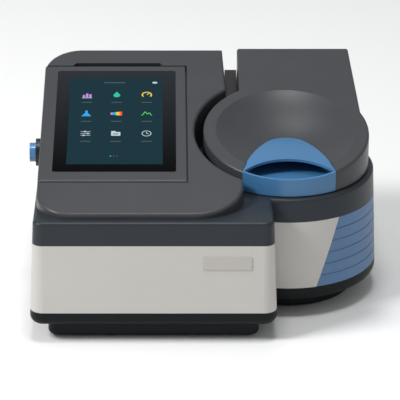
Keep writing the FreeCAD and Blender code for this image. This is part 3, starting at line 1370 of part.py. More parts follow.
def optics():
    """Plate on posts with the lamp, slits, mirrors, grating, filter wheel and detectors."""
    beam = size.beam_height
    rise = beam - plate_top
    main = block("plate_main", (PLATE_LEFT, PLATE_RIGHT), (PLATE_FRONT, PLATE_BACK),
                 (size.plate_level, plate_top))
    arm = block("plate_arm", (PLATE_RIGHT - 1, beam_x + 20), (drum_y + size.well_radius + 6, PLATE_BACK),
                (size.plate_level, plate_top))
    floor = size.foot_height + size.wall
    posts = [rod("plate_post_%d" % n, 6, size.plate_level - floor, x, y, floor)
             for n, (x, y) in enumerate([(PLATE_LEFT + 14, PLATE_FRONT + 14),
                                         (PLATE_RIGHT - 14, PLATE_FRONT + 14),
                                         (PLATE_LEFT + 14, PLATE_BACK - 14),
                                         (beam_x + 2, PLATE_BACK - 14)])]
    piece(fuse("optics_plate", main, arm, *posts), "optics_plate")
    lamp_x, lamp_y = PLATE_LEFT + 24, PLATE_BACK - 22
    piece(cut("lamp_housing", standing("lamp_box", lamp_x, lamp_y, 40, 36, rise + 16),
              standing("lamp_room", lamp_x, lamp_y, 34, 30, rise + 13),
              rod("lamp_port", 6, 20, lamp_x, lamp_y - 28, beam, "y")), "lamp_housing")
    piece(fuse("flash_lamp", rod("lamp_socket", 11, rise - 12, lamp_x, lamp_y, plate_top),
               rod("lamp_bulb", 8, 20, lamp_x, lamp_y, beam - 12)), "flash_lamp")

    def holder_with_hole(name, x, y, hole, width=18, depth=5, turned=0):
        return cut(name, standing(name + "_stand", x, y, width, depth, rise + 9, turned),
                   rod(name + "_hole", hole, 40, x, y - 20, beam, "y"))

    lens_y = lamp_y - 30
    lens_mount = holder_with_hole("lens_mount", lamp_x, lens_y, 6)
    piece(lens_mount, "lens_mount")
    ball = doc.addObject("Part::Sphere", "lens_ball")
    bind(ball, "Radius", 16)
    place(ball, lamp_x, lens_y + 13, beam)
    piece(common("condenser_lens", rod("lens_rim", 5.95, 5, lamp_x, lens_y - 2.5, beam, "y"), ball),
          "condenser_lens")
    filter_y = lens_y - 18
    slit_y = filter_y - 16
    piece(holder_with_hole("entrance_slit", lamp_x, slit_y, 1), "entrance_slit")
    motor_start = filter_y + 5
    filter_middle = lamp_x + 22
    filter_motor = fuse("filter_motor_blank", rod("filter_motor_can", 8, 14, filter_middle, motor_start, beam, "y"),
                        standing("filter_motor_foot", filter_middle, motor_start + 7, 14, 10, rise - 6))
    piece(cut("filter_motor_bored", filter_motor,
              rod("filter_motor_bore", 1.55, 6, filter_middle, motor_start - 1, beam, "y")), "filter_motor")
    wheel = body("filter_wheel_disc")
    face = sketch_on(wheel, "filter_face", "XZ_Plane")
    draw_circle(face, 0, 0, 17.5)
    pad(wheel, face, 2)
    hole = sketch_on(wheel, "filter_hole", "XZ_Plane")
    draw_circle(hole, 0, 12.5, 3.5)
    hole_cut = pocket(wheel, hole, 3, Reversed=False, SideType="Symmetric")
    holes = wheel.newObject("PartDesign::PolarPattern", "filter_holes")
    holes.Originals = [hole_cut]
    holes.Axis = (face, ["N_Axis"])
    holes.Angle = 360
    holes.Occurrences = 6
    wheel.Tip = holes
    place(wheel, filter_middle, filter_y + 1, beam)
    piece(fuse("filter_wheel", wheel, rod("filter_shaft", 1.5, 8, filter_middle, filter_y, beam, "y")),
          "filter_wheel")
    mirror_y = PLATE_FRONT + 16
    focus_x = PLATE_RIGHT - 24
    for name, x, turn in (("collimating_mirror", lamp_x, -12), ("focusing_mirror", focus_x, 12)):
        back = standing(name + "_back", x, mirror_y, 34, 8, rise + 17, turn)
        bowl = doc.addObject("Part::Sphere", name + "_bowl")
        bind(bowl, "Radius", 150)
        place(bowl, x - 153 * math.sin(math.radians(turn)), mirror_y + 153 * math.cos(math.radians(turn)),
              beam)
        piece(cut(name, back, bowl), name)
    grating_x, grating_y = (lamp_x + focus_x) / 2, slit_y
    piece(rod("grating_motor", 14, 16, grating_x, grating_y, size.plate_level - 16), "grating_motor")
    stage = fuse("stage_blank", rod("stage_disc", 13, 4, grating_x, grating_y, plate_top + 0.3),
                 standing("stage_back", grating_x, grating_y + 4.5, 24, 5, rise + 12))
    piece(common("stage_clear", stage, block("stage_limits", (-WIDE, WIDE), (-WIDE, WIDE),
                                             (plate_top + 0.3, HIGH))), "grating_stage")
    piece(block("grating", (grating_x - 11, grating_x + 11), (grating_y - 3.5, grating_y + 2),
                (plate_top + 4.3, beam + 11)), "grating")
    exit_y = slit_y
    piece(holder_with_hole("exit_slit", focus_x, exit_y, 1), "exit_slit")
    fold_y = PLATE_BACK - 14
    piece(group("fold_mirrors",
                standing("fold_mirror_left", focus_x, fold_y, 20, 5, rise + 10, 45),
                standing("fold_mirror_right", beam_x, fold_y, 20, 5, rise + 10, -45)), "fold_mirrors")
    split_y = drum_y + size.well_radius + 20
    piece(standing("beam_splitter", beam_x, split_y, 18, 2, rise + 10, 45), "beam_splitter")
    reference = fuse("reference_detector",
                     standing("reference_stand", beam_x - 26, split_y, 10, 14, rise + 9),
                     rod("reference_can", 5, 4, beam_x - 21, split_y, beam, "x"))
    piece(reference, "reference_detector")
    detector_y = drum_y - window_y - 14
    floor_post = size.foot_height + size.wall
    piece(fuse("sample_detector",
               rod("detector_can", 6, 6, beam_x, detector_y, beam, "y"),
               block("detector_board", (beam_x - 14, beam_x + 9), (detector_y - 3, detector_y),
                     (floor_post, beam + 14)),
               block("detector_foot", (beam_x - 14, beam_x + 9), (detector_y - 18, detector_y - 3),
                     (floor_post, floor_post + 3))), "sample_detector")


# Electronics, the rear panel and the fan

panel_front = size.back_wall - size.wall - size.rear_panel_thickness
panel_right = size.rear_panel_left + size.rear_panel_width
panel_high = size.rear_panel_low + size.rear_panel_height


def socket_places():
    """Middle, level, width and height of the sockets on the rear panel."""
    middle = size.rear_panel_low + size.rear_panel_height / 2
    return [(panel_right - 58, middle - 14, 13, 13), (panel_right - 32, middle - 14, 12, 11),
            (panel_right - 14, middle - 14, 6, 14), (panel_right - 32, middle + 14, 16, 13)]


def rear_panel():
    """Sheet-metal panel behind the back wall's window, with the fan's grille and the socket holes."""
    owner = body("rear_panel")
    sheet_sketch = sketch_on(owner, "panel_outline", "XZ_Plane", -panel_front - size.rear_panel_thickness)
    draw_rectangle(sheet_sketch, size.rear_panel_left, panel_right, size.rear_panel_low, panel_high)
    pad(owner, sheet_sketch, size.rear_panel_thickness)
    through = size.rear_panel_thickness * 2
    for number, (x, z, width, height) in enumerate(socket_places()):
        hole = sketch_on(owner, "socket_hole_%d" % number, "XZ_Plane", -size.back_wall)
        width, height = width + 2 * size.seat_gap, height + 2 * size.seat_gap
        draw_rectangle(hole, x - width / 2, x + width / 2, z - height / 2, z + height / 2)
        pocket(owner, hole, through * 3, Reversed=True)
    slots = size.fan_size / 10
    slot = sketch_on(owner, "fan_slot", "XZ_Plane", -size.back_wall)
    half = size.fan_size / 2 - slots / 2
    draw_rectangle(slot, size.fan_middle_x - half, size.fan_middle_x + half,
                   size.fan_middle_z - half, size.fan_middle_z - half + slots / 2)
    slot_cut = pocket(owner, slot, through * 3, Reversed=True)
    rows = owner.newObject("PartDesign::LinearPattern", "fan_slots")
    rows.Originals = [slot_cut]
    rows.Direction = (slot, ["V_Axis"])
    bind(rows, "Length", size.fan_size - slots * 1.5)
    rows.Occurrences = 9
    owner.Tip = rows
    piece(owner, "rear_panel")
    inlet, data, small, network = socket_places()
    depth = 12

    def shell(name, spot, wall):
        x, z, width, height = spot
        outer = block(name + "_case", (x - width / 2, x + width / 2),
                      (panel_front - depth, size.back_wall - 1), (z - height / 2, z + height / 2))
        room = block(name + "_room", (x - width / 2 + wall, x + width / 2 - wall),
                     (panel_front - depth + 3, size.back_wall), (z - height / 2 + wall, z + height / 2 - wall))
        return cut(name, outer, room)

    x, z, width, height = inlet
    barrel = cut("inlet_barrel",
                 block("inlet_case", (x - width / 2, x + width / 2), (panel_front - depth, size.back_wall - 1),
                       (z - height / 2, z + height / 2)),
                 rod("inlet_room", 4.2, depth, x, size.back_wall - depth, z, "y"))
    piece(fuse("power_inlet", barrel, rod("inlet_pin", 1.2, depth, x, size.back_wall - depth - 1.5, z, "y")),
          "power_inlet")
    piece(group("data_sockets", shell("data_socket", data, 1), shell("small_socket", small, 1)),
          "data_sockets")
    piece(shell("network_socket", network, 1.2), "network_socket")


def rear_panel_screws():
    """Slotted screw heads on the rear panel, below the housing's outer face."""
    face = panel_front + size.rear_panel_thickness
    fan_side = size.fan_middle_x + size.fan_size / 2 + 6
    far_side = panel_right - 9
    heads = []
    for number, (x, z) in enumerate([(fan_side, size.rear_panel_low + 9), (fan_side, panel_high - 9),
                                     (far_side, panel_high - 9), (far_side, panel_high - 31)]):
        head = rod("screw_head_%d" % number, 2.6, 1.6, x, face, z, "y")
        slot = block("screw_slot_%d" % number, (x - 3, x + 3), (face + 0.9, face + 2),
                     (z - 0.35, z + 0.35))
        heads.append(cut("screw_%d" % number, head, slot))
    return piece(group("rear_panel_screws", *heads), "rear_panel_screws")


def fan():
    """Cooling fan: square frame with its hub on four arms, and a rotor with swept blades."""
    x, z = size.fan_middle_x, size.fan_middle_z
    half = size.fan_size / 2
    back = panel_front - 0.3
    front = back - size.fan_depth
    hub = size.fan_size / 5
    frame = cut("fan_ring", block("fan_square", (x - half, x + half), (front, back), (z - half, z + half)),
                rod("fan_bore", half - size.seat_gap * 4, size.fan_depth * 2, x, front - 1, z, "y"))
    arms = [block("fan_arm_flat", (x - half, x + half), (front, front + 2), (z - 2, z + 2)),
            block("fan_arm_tall", (x - 2, x + 2), (front, front + 2), (z - half, z + half))]
    motor = rod("fan_motor", hub, 4, x, front, z, "y")
    blank = fuse("fan_frame_blank", frame, motor, *arms)
    piece(cut("fan_frame", blank, rod("fan_shaft_hole", 1.55, 10, x, front - 1, z, "y")), "fan_frame")
    rotor = body("fan_blades")
    cap = sketch_on(rotor, "fan_cap", "XY_Plane", 4.4)
    draw_circle(cap, 0, 0, hub)
    pad(rotor, cap, size.fan_depth - 5.4)
    low = sketch_on(rotor, "blade_low", "XY_Plane", 5)
    high = sketch_on(rotor, "blade_high", "XY_Plane", size.fan_depth - 1.5)
    tip = half - size.seat_gap * 8
    for sketch, shift in ((low, -5), (high, 5)):
        draw_polygon(sketch, [(hub - 1.5, shift * 0.5 - 0.8), (tip, shift - 0.8), (tip, shift + 0.8),
                              (hub - 1.5, shift * 0.5 + 0.8)])
    blade = rotor.newObject("PartDesign::AdditiveLoft", "blade")
    blade.Profile = low
    blade.Sections = [high]
    blade.Ruled = True
    ring = rotor.newObject("PartDesign::PolarPattern", "blades")
    ring.Originals = [blade]
    ring.Axis = (cap, ["N_Axis"])
    ring.Angle = 360
    bind(ring, "Occurrences", size.fan_blades)
    rotor.Tip = ring
    place(rotor, x, front, z, -90)
    piece(fuse("fan_rotor", rotor, rod("fan_shaft", 1.5, 5, x, front + 1, z, "y")), "fan_rotor")


def electronics():
    """Main board on the tray's floor."""
    floor = size.foot_height + size.wall
    board = block("board_sheet", (PLATE_LEFT + 10, PLATE_RIGHT - 24), (PLATE_FRONT + 28, PLATE_BACK - 40),
                  (floor + 8, floor + 9.6))
    feet = [rod("board_foot_%d" % n, 3, 8, x, y, floor)
            for n, (x, y) in enumerate((x, y) for x in (PLATE_LEFT + 16, PLATE_RIGHT - 30)
                                       for y in (PLATE_FRONT + 34, PLATE_BACK - 46))]
    parts = [block("board_part_%d" % n, (PLATE_LEFT + x, PLATE_LEFT + x + w),
                   (PLATE_FRONT + y, PLATE_FRONT + y + d), (floor + 9.6, floor + 9.6 + tall))
             for n, (x, y, w, d, tall) in enumerate([(30, 50, 30, 30, 4), (80, 50, 18, 18, 12),
                                                     (40, 110, 46, 12, 9), (100, 100, 14, 24, 16)])]
    return piece(fuse("main_board", board, *feet, *parts), "main_board")


def rubber_feet():
    """Round feet under the plinth: four at the box's corners and one under the compartment."""
    inset_x = size.plinth_side_inset + size.foot_radius * 2
    inset_y = size.plinth_front_inset + size.foot_radius * 2
    sides = (size.box_left + inset_x, box_right - inset_x)
    ends = (size.front_wall + inset_y, size.back_wall - inset_y)
    places = [(x, y) for y in ends for x in sides] + [(drum_x + size.drum_radius / 2, drum_y)]
    return piece(group("rubber_feet", *[rod("foot_%d" % n, size.foot_radius, size.foot_height, x, y, 0)
                                        for n, (x, y) in enumerate(places)]), "rubber_feet")


def well_gasket():
    """Soft ring on the deck round the well, under the lid."""
    ring = cut("gasket_round",
               rod("gasket_outside", size.well_radius + size.wall * 2, HIGH - LOW, drum_x, drum_y, LOW),
               rod("gasket_inside", size.well_radius + size.wall, HIGH - LOW, drum_x, drum_y, LOW))
    return piece(common("well_gasket", ring, side_band("gasket_band", deck_line(ZERO),
                                                       deck_line(size.lid_gap - 0.1))), "well_gasket")


def finish():
    """Check every object, then write each sub-part."""
    doc.recompute()
    for item in doc.Objects:
        if "Invalid" in item.State or "Error" in item.State:
            raise RuntimeError("failed object: " + item.Name + " " + str(item.State))
    os.makedirs("parts", exist_ok=True)
    for item in pieces:
        if item.Shape.isNull() or not item.Shape.isValid() or not item.Shape.Solids:
            raise RuntimeError("bad shape: " + item.Label)
    for item in pieces:
        item.Shape.exportStep("parts/" + item.Label + ".step")


for build in (base_tray, rubber_feet, lower_housing, badge_plate, side_accent_panel, upper_housing,
              console_cover, rear_spine, rear_panel, rear_panel_screws, fan, electronics, power_button, display_bezel, display_glass,
              display_inside, lid_shell, lid_handle, lid_inside, lid_hinge, well_gasket, sample_well,
              beam_windows, cell_turret, turret_knob, turret_drive, optics):
    build()
finish()
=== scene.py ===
"""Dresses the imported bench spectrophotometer: finishes, display picture, small parts and stage."""
import math
import random

import bmesh
import bpy
from mathutils import Matrix, Vector


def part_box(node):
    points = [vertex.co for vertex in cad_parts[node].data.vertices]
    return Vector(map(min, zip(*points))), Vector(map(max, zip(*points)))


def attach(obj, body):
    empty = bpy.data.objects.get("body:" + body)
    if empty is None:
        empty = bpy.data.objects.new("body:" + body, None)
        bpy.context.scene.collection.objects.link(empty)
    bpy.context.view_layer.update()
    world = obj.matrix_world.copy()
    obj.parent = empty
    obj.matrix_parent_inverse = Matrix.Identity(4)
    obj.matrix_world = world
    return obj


bl_info = {
    "name": "Bench Spectrophotometer Dressing",
    "version": (1, 0, 0),
    "blender": (4, 5, 0),
    "location": "View3D > Sidebar > Instrument",
    "description": "Finishes and small parts for a bench spectrophotometer",
    "category": "Object",
}

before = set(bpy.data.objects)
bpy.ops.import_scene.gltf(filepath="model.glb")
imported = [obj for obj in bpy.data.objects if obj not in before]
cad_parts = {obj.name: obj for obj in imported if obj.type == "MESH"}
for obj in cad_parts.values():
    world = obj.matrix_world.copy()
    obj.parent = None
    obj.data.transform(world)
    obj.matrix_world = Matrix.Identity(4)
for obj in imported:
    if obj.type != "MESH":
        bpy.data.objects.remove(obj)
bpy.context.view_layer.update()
MM = 0.001

# The sloping top that carries the display and the lid
SLOPE = math.radians(14.3)
SLOPE_FRONT = Vector((0.0, -131.6, 129.0)) * MM


def on_slope(x, up, above=0.0):
    """A place on the sloping top: millimetres across, up the slope and above it."""
    return SLOPE_FRONT + Vector((x, up * math.cos(SLOPE) - above * math.sin(SLOPE),
                                 up * math.sin(SLOPE) + above * math.cos(SLOPE))) * MM


# Sizes and colours that a user would change

class CasePaint(bpy.types.PropertyGroup):
    """Colours of the moulded case and its blue parts."""
    dark: bpy.props.FloatVectorProperty(
        name="Dark case", description="Console, lid and display bezel", subtype="COLOR", size=3,
        min=0, max=1, default=(0.046, 0.049, 0.054))
    band: bpy.props.FloatVectorProperty(
        name="Band", description="Band round the body, a little bluer", subtype="COLOR", size=3,
        min=0, max=1, default=(0.024, 0.030, 0.037))
    light: bpy.props.FloatVectorProperty(
        name="Light case", description="Lower housing", subtype="COLOR", size=3,
        min=0, max=1, default=(0.52, 0.507, 0.475))
    black: bpy.props.FloatVectorProperty(
        name="Black base", description="Base tray", subtype="COLOR", size=3,
        min=0, max=1, default=(0.0065, 0.0075, 0.0085))
    handle: bpy.props.FloatVectorProperty(
        name="Handle blue", description="Lid handle", subtype="COLOR", size=3,
        min=0, max=1, default=(0.048, 0.168, 0.345))
    accent: bpy.props.FloatVectorProperty(
        name="Accent blue", description="Grooved side panel", subtype="COLOR", size=3,
        min=0, max=1, default=(0.076, 0.170, 0.320))
    button: bpy.props.FloatVectorProperty(
        name="Button blue", description="Power button", subtype="COLOR", size=3,
        min=0, max=1, default=(0.045, 0.190, 0.420))
    badge: bpy.props.FloatVectorProperty(
        name="Badge plate", description="Bare plate on the front", subtype="COLOR", size=3,
        min=0, max=1, default=(0.46, 0.44, 0.40))
    grain: bpy.props.FloatProperty(
        name="Grain", description="Width of the moulded grain", subtype="DISTANCE", unit="LENGTH",
        min=0.0001, max=0.005, default=0.0006)


class ScreenLook(bpy.types.PropertyGroup):
    """The picture on the display."""
    brightness: bpy.props.FloatProperty(
        name="Brightness", description="Light given off by the lit picture",
        min=0, max=10, default=1.0)
    icon: bpy.props.FloatProperty(
        name="Icon", description="Width of one icon", subtype="DISTANCE", unit="LENGTH",
        min=0.002, max=0.03, default=0.0092)


class StageLook(bpy.types.PropertyGroup):
    """Floor, lights and camera."""
    floor: bpy.props.FloatVectorProperty(
        name="Floor", description="Pale floor", subtype="COLOR", size=3, min=0, max=1,
        default=(0.86, 0.86, 0.86))
    key: bpy.props.FloatProperty(
        name="Main light", description="Power of the soft light at the left", min=0, max=2000,
        default=70)
    top: bpy.props.FloatProperty(
        name="Top light", description="Power of the soft light that gives the tops their sheen",
        min=0, max=2000, default=24)
    zenith: bpy.props.FloatProperty(
        name="Zenith", description="Brightness of the surroundings overhead", min=0, max=2,
        default=0.32)
    horizon: bpy.props.FloatProperty(
        name="Horizon", description="Brightness of the surroundings at eye level", min=0, max=2,
        default=0.45)


# Shader maths and materials

# The sockets of a Mix node that carry its mask and colours, by number
MIX_MASK, MIX_FIRST, MIX_SECOND, MIX_RESULT = 0, 6, 7, 2


class Socket:
    """A shader value that takes part in arithmetic: each operator adds a Math node."""

    def __init__(self, finish, socket):
        self.finish = finish
        self.socket = socket

    def _with(self, operation, first, second):
        values = {0: first, 1: second}
        return self.finish.node("ShaderNodeMath", {"operation": operation}, values)

    def __add__(self, other):
        return self._with("ADD", self, other)

    def __rsub__(self, other):
        return self._with("SUBTRACT", other, self)

    def __mul__(self, other):
        return self._with("MULTIPLY", self, other)

    def __lt__(self, other):
        return self._with("LESS_THAN", self, other)


class Finish:
    """One material under construction."""

    def __init__(self, name):
        self.material = bpy.data.materials.new(name)
        self.material.use_nodes = True
        self.tree = self.material.node_tree
        self.shader = self.tree.nodes["Principled BSDF"]

    def node(self, kind, settings=None, values=None, output=0):
        """Add a node: its settings first, then numbers or links for its sockets."""
        made = self.tree.nodes.new(kind)
        for key, value in (settings or {}).items():
            if key == "stops":
                ramp = made.color_ramp
                while len(ramp.elements) < len(value):
                    ramp.elements.new(0.5)
                for stop, (place, colour) in zip(ramp.elements, value):
                    stop.position = place
                    stop.color = (*colour, 1)
            else:
                setattr(made, key, value)
        for key, value in (values or {}).items():
            self.feed(made.inputs[key], value)
        return Socket(self, made.outputs[output])

    def feed(self, target, value):
        """Link a shader value to a socket, or set a number or colour on it."""
        if isinstance(value, Socket):
            self.tree.links.new(value.socket, target)
        elif target.type == "RGBA":
            target.default_value = (*value, 1)
        else:
            target.default_value = value

    def set(self, **values):
        """Set the shader's sockets, named with underscores for spaces."""
        for key, value in values.items():
            self.feed(self.shader.inputs[key.replace("_", " ")], value)
        return self

    def place(self, scale=(1, 1, 1)):
        """Coordinates on the object, stretched if asked."""
        coordinates = self.node("ShaderNodeTexCoord", output="Object")
        return self.node("ShaderNodeMapping", values={"Vector": coordinates, "Scale": scale})

    def noise(self, width, detail, scale=(1, 1, 1), rough=0.5):
        """Noise between 0 and 1 whose blotches are about width metres wide."""
        return self.node("ShaderNodeTexNoise", values={
            "Vector": self.place(scale), "Scale": 1 / width, "Detail": detail, "Roughness": rough})

    def blend(self, mask, first, second):
        """A colour between two others."""
        values = {MIX_MASK: mask, MIX_FIRST: first, MIX_SECOND: second}
        return self.node("ShaderNodeMix", {"data_type": "RGBA"}, values, output=MIX_RESULT)

    def bump(self, height, distance):
        """Feed a height to the surface's normal; distance is its depth in metres."""
        self.set(Normal=self.node("ShaderNodeBump", values={
            "Height": height, "Distance": distance}))
        return self


def shade(colour, factor):
    """A colour made lighter or darker."""
    return tuple(min(1.0, part * factor) for part in colour)


def moulded(name, colour, roughness, grain, depth=0.00002, coat=0.0, contrast=0.08, gloss=0.5):
    """Injection-moulded plastic: fine grain, faint flow clouds and uneven gloss."""
    finish = Finish(name)
    clouds = finish.noise(0.045, 4)
    fine = finish.noise(grain, 2, rough=0.6)
    pores = finish.node("ShaderNodeTexVoronoi", {"feature": "F1"},
                        {"Vector": finish.place(), "Scale": 0.8 / grain})
    darker, lighter = shade(colour, 1 - contrast), shade(colour, 1 + contrast)
    finish.set(Base_Color=finish.blend(clouds, darker, lighter),
               Roughness=clouds * 0.08 + fine * 0.10 + (roughness - 0.09),
               Coat_Weight=coat, Coat_Roughness=0.25, Specular_IOR_Level=gloss)
    return finish.bump(fine * 0.7 + pores * 0.3, depth).material


def polished(name, colour, roughness, coat):
    """Glossy moulding with a very slight orange-peel."""
    finish = Finish(name)
    peel = finish.noise(0.004, 2)
    dust = finish.noise(0.02, 5, rough=0.7)
    finish.set(Base_Color=finish.blend(dust, shade(colour, 0.95), shade(colour, 1.05)),
               Roughness=dust * 0.10 + (roughness - 0.05), Coat_Weight=coat, Coat_Roughness=0.08)
    return finish.bump(peel, 0.00001).material


def metal(name, colour, roughness, stretch, width=0.002):
    """Machined or brushed metal: fine lines along the direction that isn't stretched."""
    finish = Finish(name)
    lines = finish.noise(width, 3, scale=stretch)
    stain = finish.noise(0.03, 4)
    finish.set(Base_Color=finish.blend(stain, shade(colour, 0.90), shade(colour, 1.05)),
               Metallic=1.0, Roughness=lines * 0.18 + stain * 0.06 + (roughness - 0.12))
    return finish.bump(lines, 0.000008).material


def circuit_board(name):
    """Green solder mask with tracks under it and copper pads."""
    finish = Finish(name)
    tracks = finish.node("ShaderNodeTexBrick", {"offset": 0.5}, {
        "Vector": finish.place(), "Scale": 190.0, "Mortar Size": 0.07, "Mortar Smooth": 0.1,
        "Color1": (0.0, 0.0, 0.0), "Color2": (0.0, 0.0, 0.0), "Mortar": (1.0, 1.0, 1.0)},
        output="Fac")
    cells = finish.node("ShaderNodeTexVoronoi", {"feature": "F1", "distance": "CHEBYCHEV"},
                        {"Vector": finish.place(), "Scale": 120.0})
    pads = cells < 0.16
    mask = finish.blend(tracks * 0.45, (0.010, 0.100, 0.045), (0.035, 0.200, 0.095))
    finish.set(Base_Color=finish.blend(pads, mask, (0.62, 0.47, 0.20)), Metallic=pads * 0.9,
               Roughness=0.42 - pads * 0.15, Coat_Weight=0.35, Coat_Roughness=0.15)
    return finish.bump(tracks * 0.5 + pads * 0.5, 0.00004).material


def rubbery(name):
    """Matt black rubber with a fine bloom."""
    finish = Finish(name)
    bloom = finish.noise(0.008, 5, rough=0.7)
    fine = finish.noise(0.0005, 2)
    finish.set(Base_Color=finish.blend(bloom, (0.012, 0.012, 0.013), (0.030, 0.030, 0.032)),
               Roughness=bloom * 0.15 + 0.68)
    return finish.bump(fine, 0.00003).material


def clear(name, tint):
    """Polished quartz: see-through, with faint wiping marks."""
    finish = Finish(name)
    marks = finish.noise(0.01, 5, rough=0.7)
    finish.set(Base_Color=tint, Roughness=marks * 0.05 + 0.03, Transmission_Weight=1.0, IOR=1.46)
    return finish.material


def mirror(name, tint):
    """First-surface mirror with a trace of haze."""
    finish = Finish(name)
    haze = finish.noise(0.015, 5, rough=0.7)
    finish.set(Base_Color=finish.blend(haze, tint, shade(tint, 0.94)), Metallic=1.0,
               Roughness=haze * 0.06 + 0.02)
    return finish.material


def ruled(name):
    """Diffraction grating: a mirror with fine ruling, and faint rainbow bands painted into its
    colour as a painted reflection of the light the ruling splits.
    """
    finish = Finish(name)
    across = finish.node("ShaderNodeSeparateXYZ", values={"Vector": finish.place()}, output="X")
    level = finish.node("ShaderNodeSeparateXYZ", values={"Vector": finish.place()}, output="Z")
    # Painted reflection: rainbow bands in the base colour stand in for the colours the ruling
    # throws.
    band = finish.node("ShaderNodeMath", {"operation": "FRACT"}, {0: across * 60.0 + level * 24.0})
    colours = finish.node("ShaderNodeValToRGB", {"stops": [
        (0.0, (0.55, 0.40, 0.75)), (0.25, (0.35, 0.55, 0.90)), (0.5, (0.40, 0.80, 0.55)),
        (0.75, (0.90, 0.80, 0.35)), (1.0, (0.85, 0.40, 0.35))]}, {"Fac": band})
    lines = finish.node("ShaderNodeTexWave", {"wave_type": "BANDS", "bands_direction": "X"},
                        {"Vector": finish.place(), "Scale": 700.0})
    finish.set(Base_Color=finish.blend(0.45, (0.80, 0.82, 0.85), colours), Metallic=1.0,
               Roughness=lines * 0.10 + 0.08)
    return finish.bump(lines, 0.000005).material


def lit(name, colour, strength):
    """A lit patch of the display, under glossy glass."""
    finish = Finish(name)
    smear = finish.noise(0.02, 4, rough=0.7)
    finish.set(Base_Color=shade(colour, 0.25), Roughness=smear * 0.08 + 0.12,
               Emission_Color=colour, Emission_Strength=strength, Specular_IOR_Level=0.05)
    return finish.material


# Mesh helpers

def add_piece(name, mesh, body, material, smooth=None):
    """Link a finished mesh as a piece that rides on a body."""
    thing = bpy.data.objects.new(name, mesh)
    bpy.context.scene.collection.objects.link(thing)
    if not mesh.materials:
        mesh.materials.append(material)
    if smooth is not None:
        with bpy.context.temp_override(object=thing, selected_editable_objects=[thing]):
            bpy.ops.object.shade_smooth_by_angle(angle=math.radians(smooth))
    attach(thing, body)
    return thing


class SlopeShapes:
    """Flat shapes on the sloping top, gathered into one mesh with several finishes."""

    def __init__(self, materials):
        self.mesh = bmesh.new()
        self.place_of = {name: place for place, name in enumerate(materials)}
        self.finishes = list(materials.values())

    def polygon(self, finish, points, above, thick=0.06):
        """A thin tile: millimetre points across and up the slope, its top at above."""
        upper = [self.mesh.verts.new(on_slope(x, up, above)) for x, up in points]
        lower = [self.mesh.verts.new(on_slope(x, up, above - thick)) for x, up in points]
        faces = [self.mesh.faces.new(upper), self.mesh.faces.new(list(reversed(lower)))]
        for here in range(len(points)):
            after = (here + 1) % len(points)
            side = (upper[here], lower[here], lower[after], upper[after])
            faces.append(self.mesh.faces.new(side))
        for face in faces:
            face.material_index = self.place_of[finish]

    def disc(self, finish, x, up, radius, above, sides=28):
        """A round tile."""
        self.polygon(finish, [(x + radius * math.cos(math.tau * n / sides),
                               up + radius * math.sin(math.tau * n / sides))
                              for n in range(sides)], above)

    def arc(self, finish, x, up, radius, width, above, start=0.0, turn=360.0, sides=32):
        """A part of a ring, made of short tiles that share their ends."""
        for n in range(sides):
            ends = [math.radians(start + turn * (n + k) / sides) for k in (0, 1)]
            corners = [(radius, ends[0]), (radius, ends[1]), (radius - width, ends[1]),
                       (radius - width, ends[0])]
            points = [(x + r * math.cos(a), up + r * math.sin(a)) for r, a in corners]
            self.polygon(finish, points, above)

    def bar(self, finish, x, up, width, height, above, radius=0.0):
        """An upright rectangle about its middle, with round corners if asked."""
        if radius <= 0:
            points = [(x - width / 2, up - height / 2), (x + width / 2, up - height / 2),
                      (x + width / 2, up + height / 2), (x - width / 2, up + height / 2)]
        else:
            points = []
            for cx, cy, first in ((1, -1, -90), (1, 1, 0), (-1, 1, 90), (-1, -1, 180)):
                for n in range(5):
                    angle = math.radians(first + 22.5 * n)
                    points.append((x + cx * (width / 2 - radius) + radius * math.cos(angle),
                                   up + cy * (height / 2 - radius) + radius * math.sin(angle)))
        self.polygon(finish, points, above)

    def stroke(self, finish, points, width, above):
        """A line of even width through a row of points."""
        for (x0, u0), (x1, u1) in zip(points, points[1:]):
            length = math.hypot(x1 - x0, u1 - u0)
            across = Vector((u0 - u1, x1 - x0)) * width / 2 / length
            points = [(x0 - across.x, u0 - across.y), (x1 - across.x, u1 - across.y),
                      (x1 + across.x, u1 + across.y), (x0 + across.x, u0 + across.y)]
            self.polygon(finish, points, above)

    def finish(self, name, body, slot):
        """Make the mesh a piece."""
        mesh = bpy.data.meshes.new(name)
        bmesh.ops.recalc_face_normals(self.mesh, faces=self.mesh.faces)
        self.mesh.to_mesh(mesh)
        self.mesh.free()
        for material in self.finishes:
            mesh.materials.append(material)
        return add_piece(name, mesh, body, None)


# Operators: one for each piece or group of like pieces

def paint(name, material):
    """Give a CAD node its finish."""
    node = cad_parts[name]
    node.data.materials.clear()
    node.data.materials.append(material)


class INSTRUMENT_OT_case(bpy.types.Operator):
    """Finish the moulded case, its blue parts and the feet"""
    bl_idname = "instrument.case"
    bl_label = "Case finishes"

    def execute(self, context):
        look = context.scene.case_paint
        grain = look.grain
        top = moulded("console plastic", look.dark, 0.34, grain, gloss=0.3)
        for name in ("console_cover", "display_bezel", "lid_shell"):
            paint(name, top)
        paint("upper_housing", moulded("band plastic", look.band, 0.36, grain, gloss=0.25))
        paint("lower_housing", moulded("light plastic", look.light, 0.46, grain, contrast=0.03))
        paint("base_tray", moulded("black plastic", look.black, 0.45, grain, gloss=0.15))
        paint("button_ring", moulded("ring plastic", look.black, 0.32, grain))
        paint("side_accent_panel",
              moulded("accent plastic", look.accent, 0.42, grain, contrast=0.05))
        paint("lid_handle",
              moulded("handle plastic", look.handle, 0.34, grain * 0.8, 0.000012, 0.15, 0.04))
        paint("power_button", polished("button plastic", look.button, 0.25, 0.4))
        paint("badge_plate", moulded("badge plastic", look.badge, 0.30, grain, contrast=0.02))
        for name in ("rubber_feet", "well_gasket"):
            paint(name, rubbery(name.replace("_", " ")))
        return {"FINISHED"}


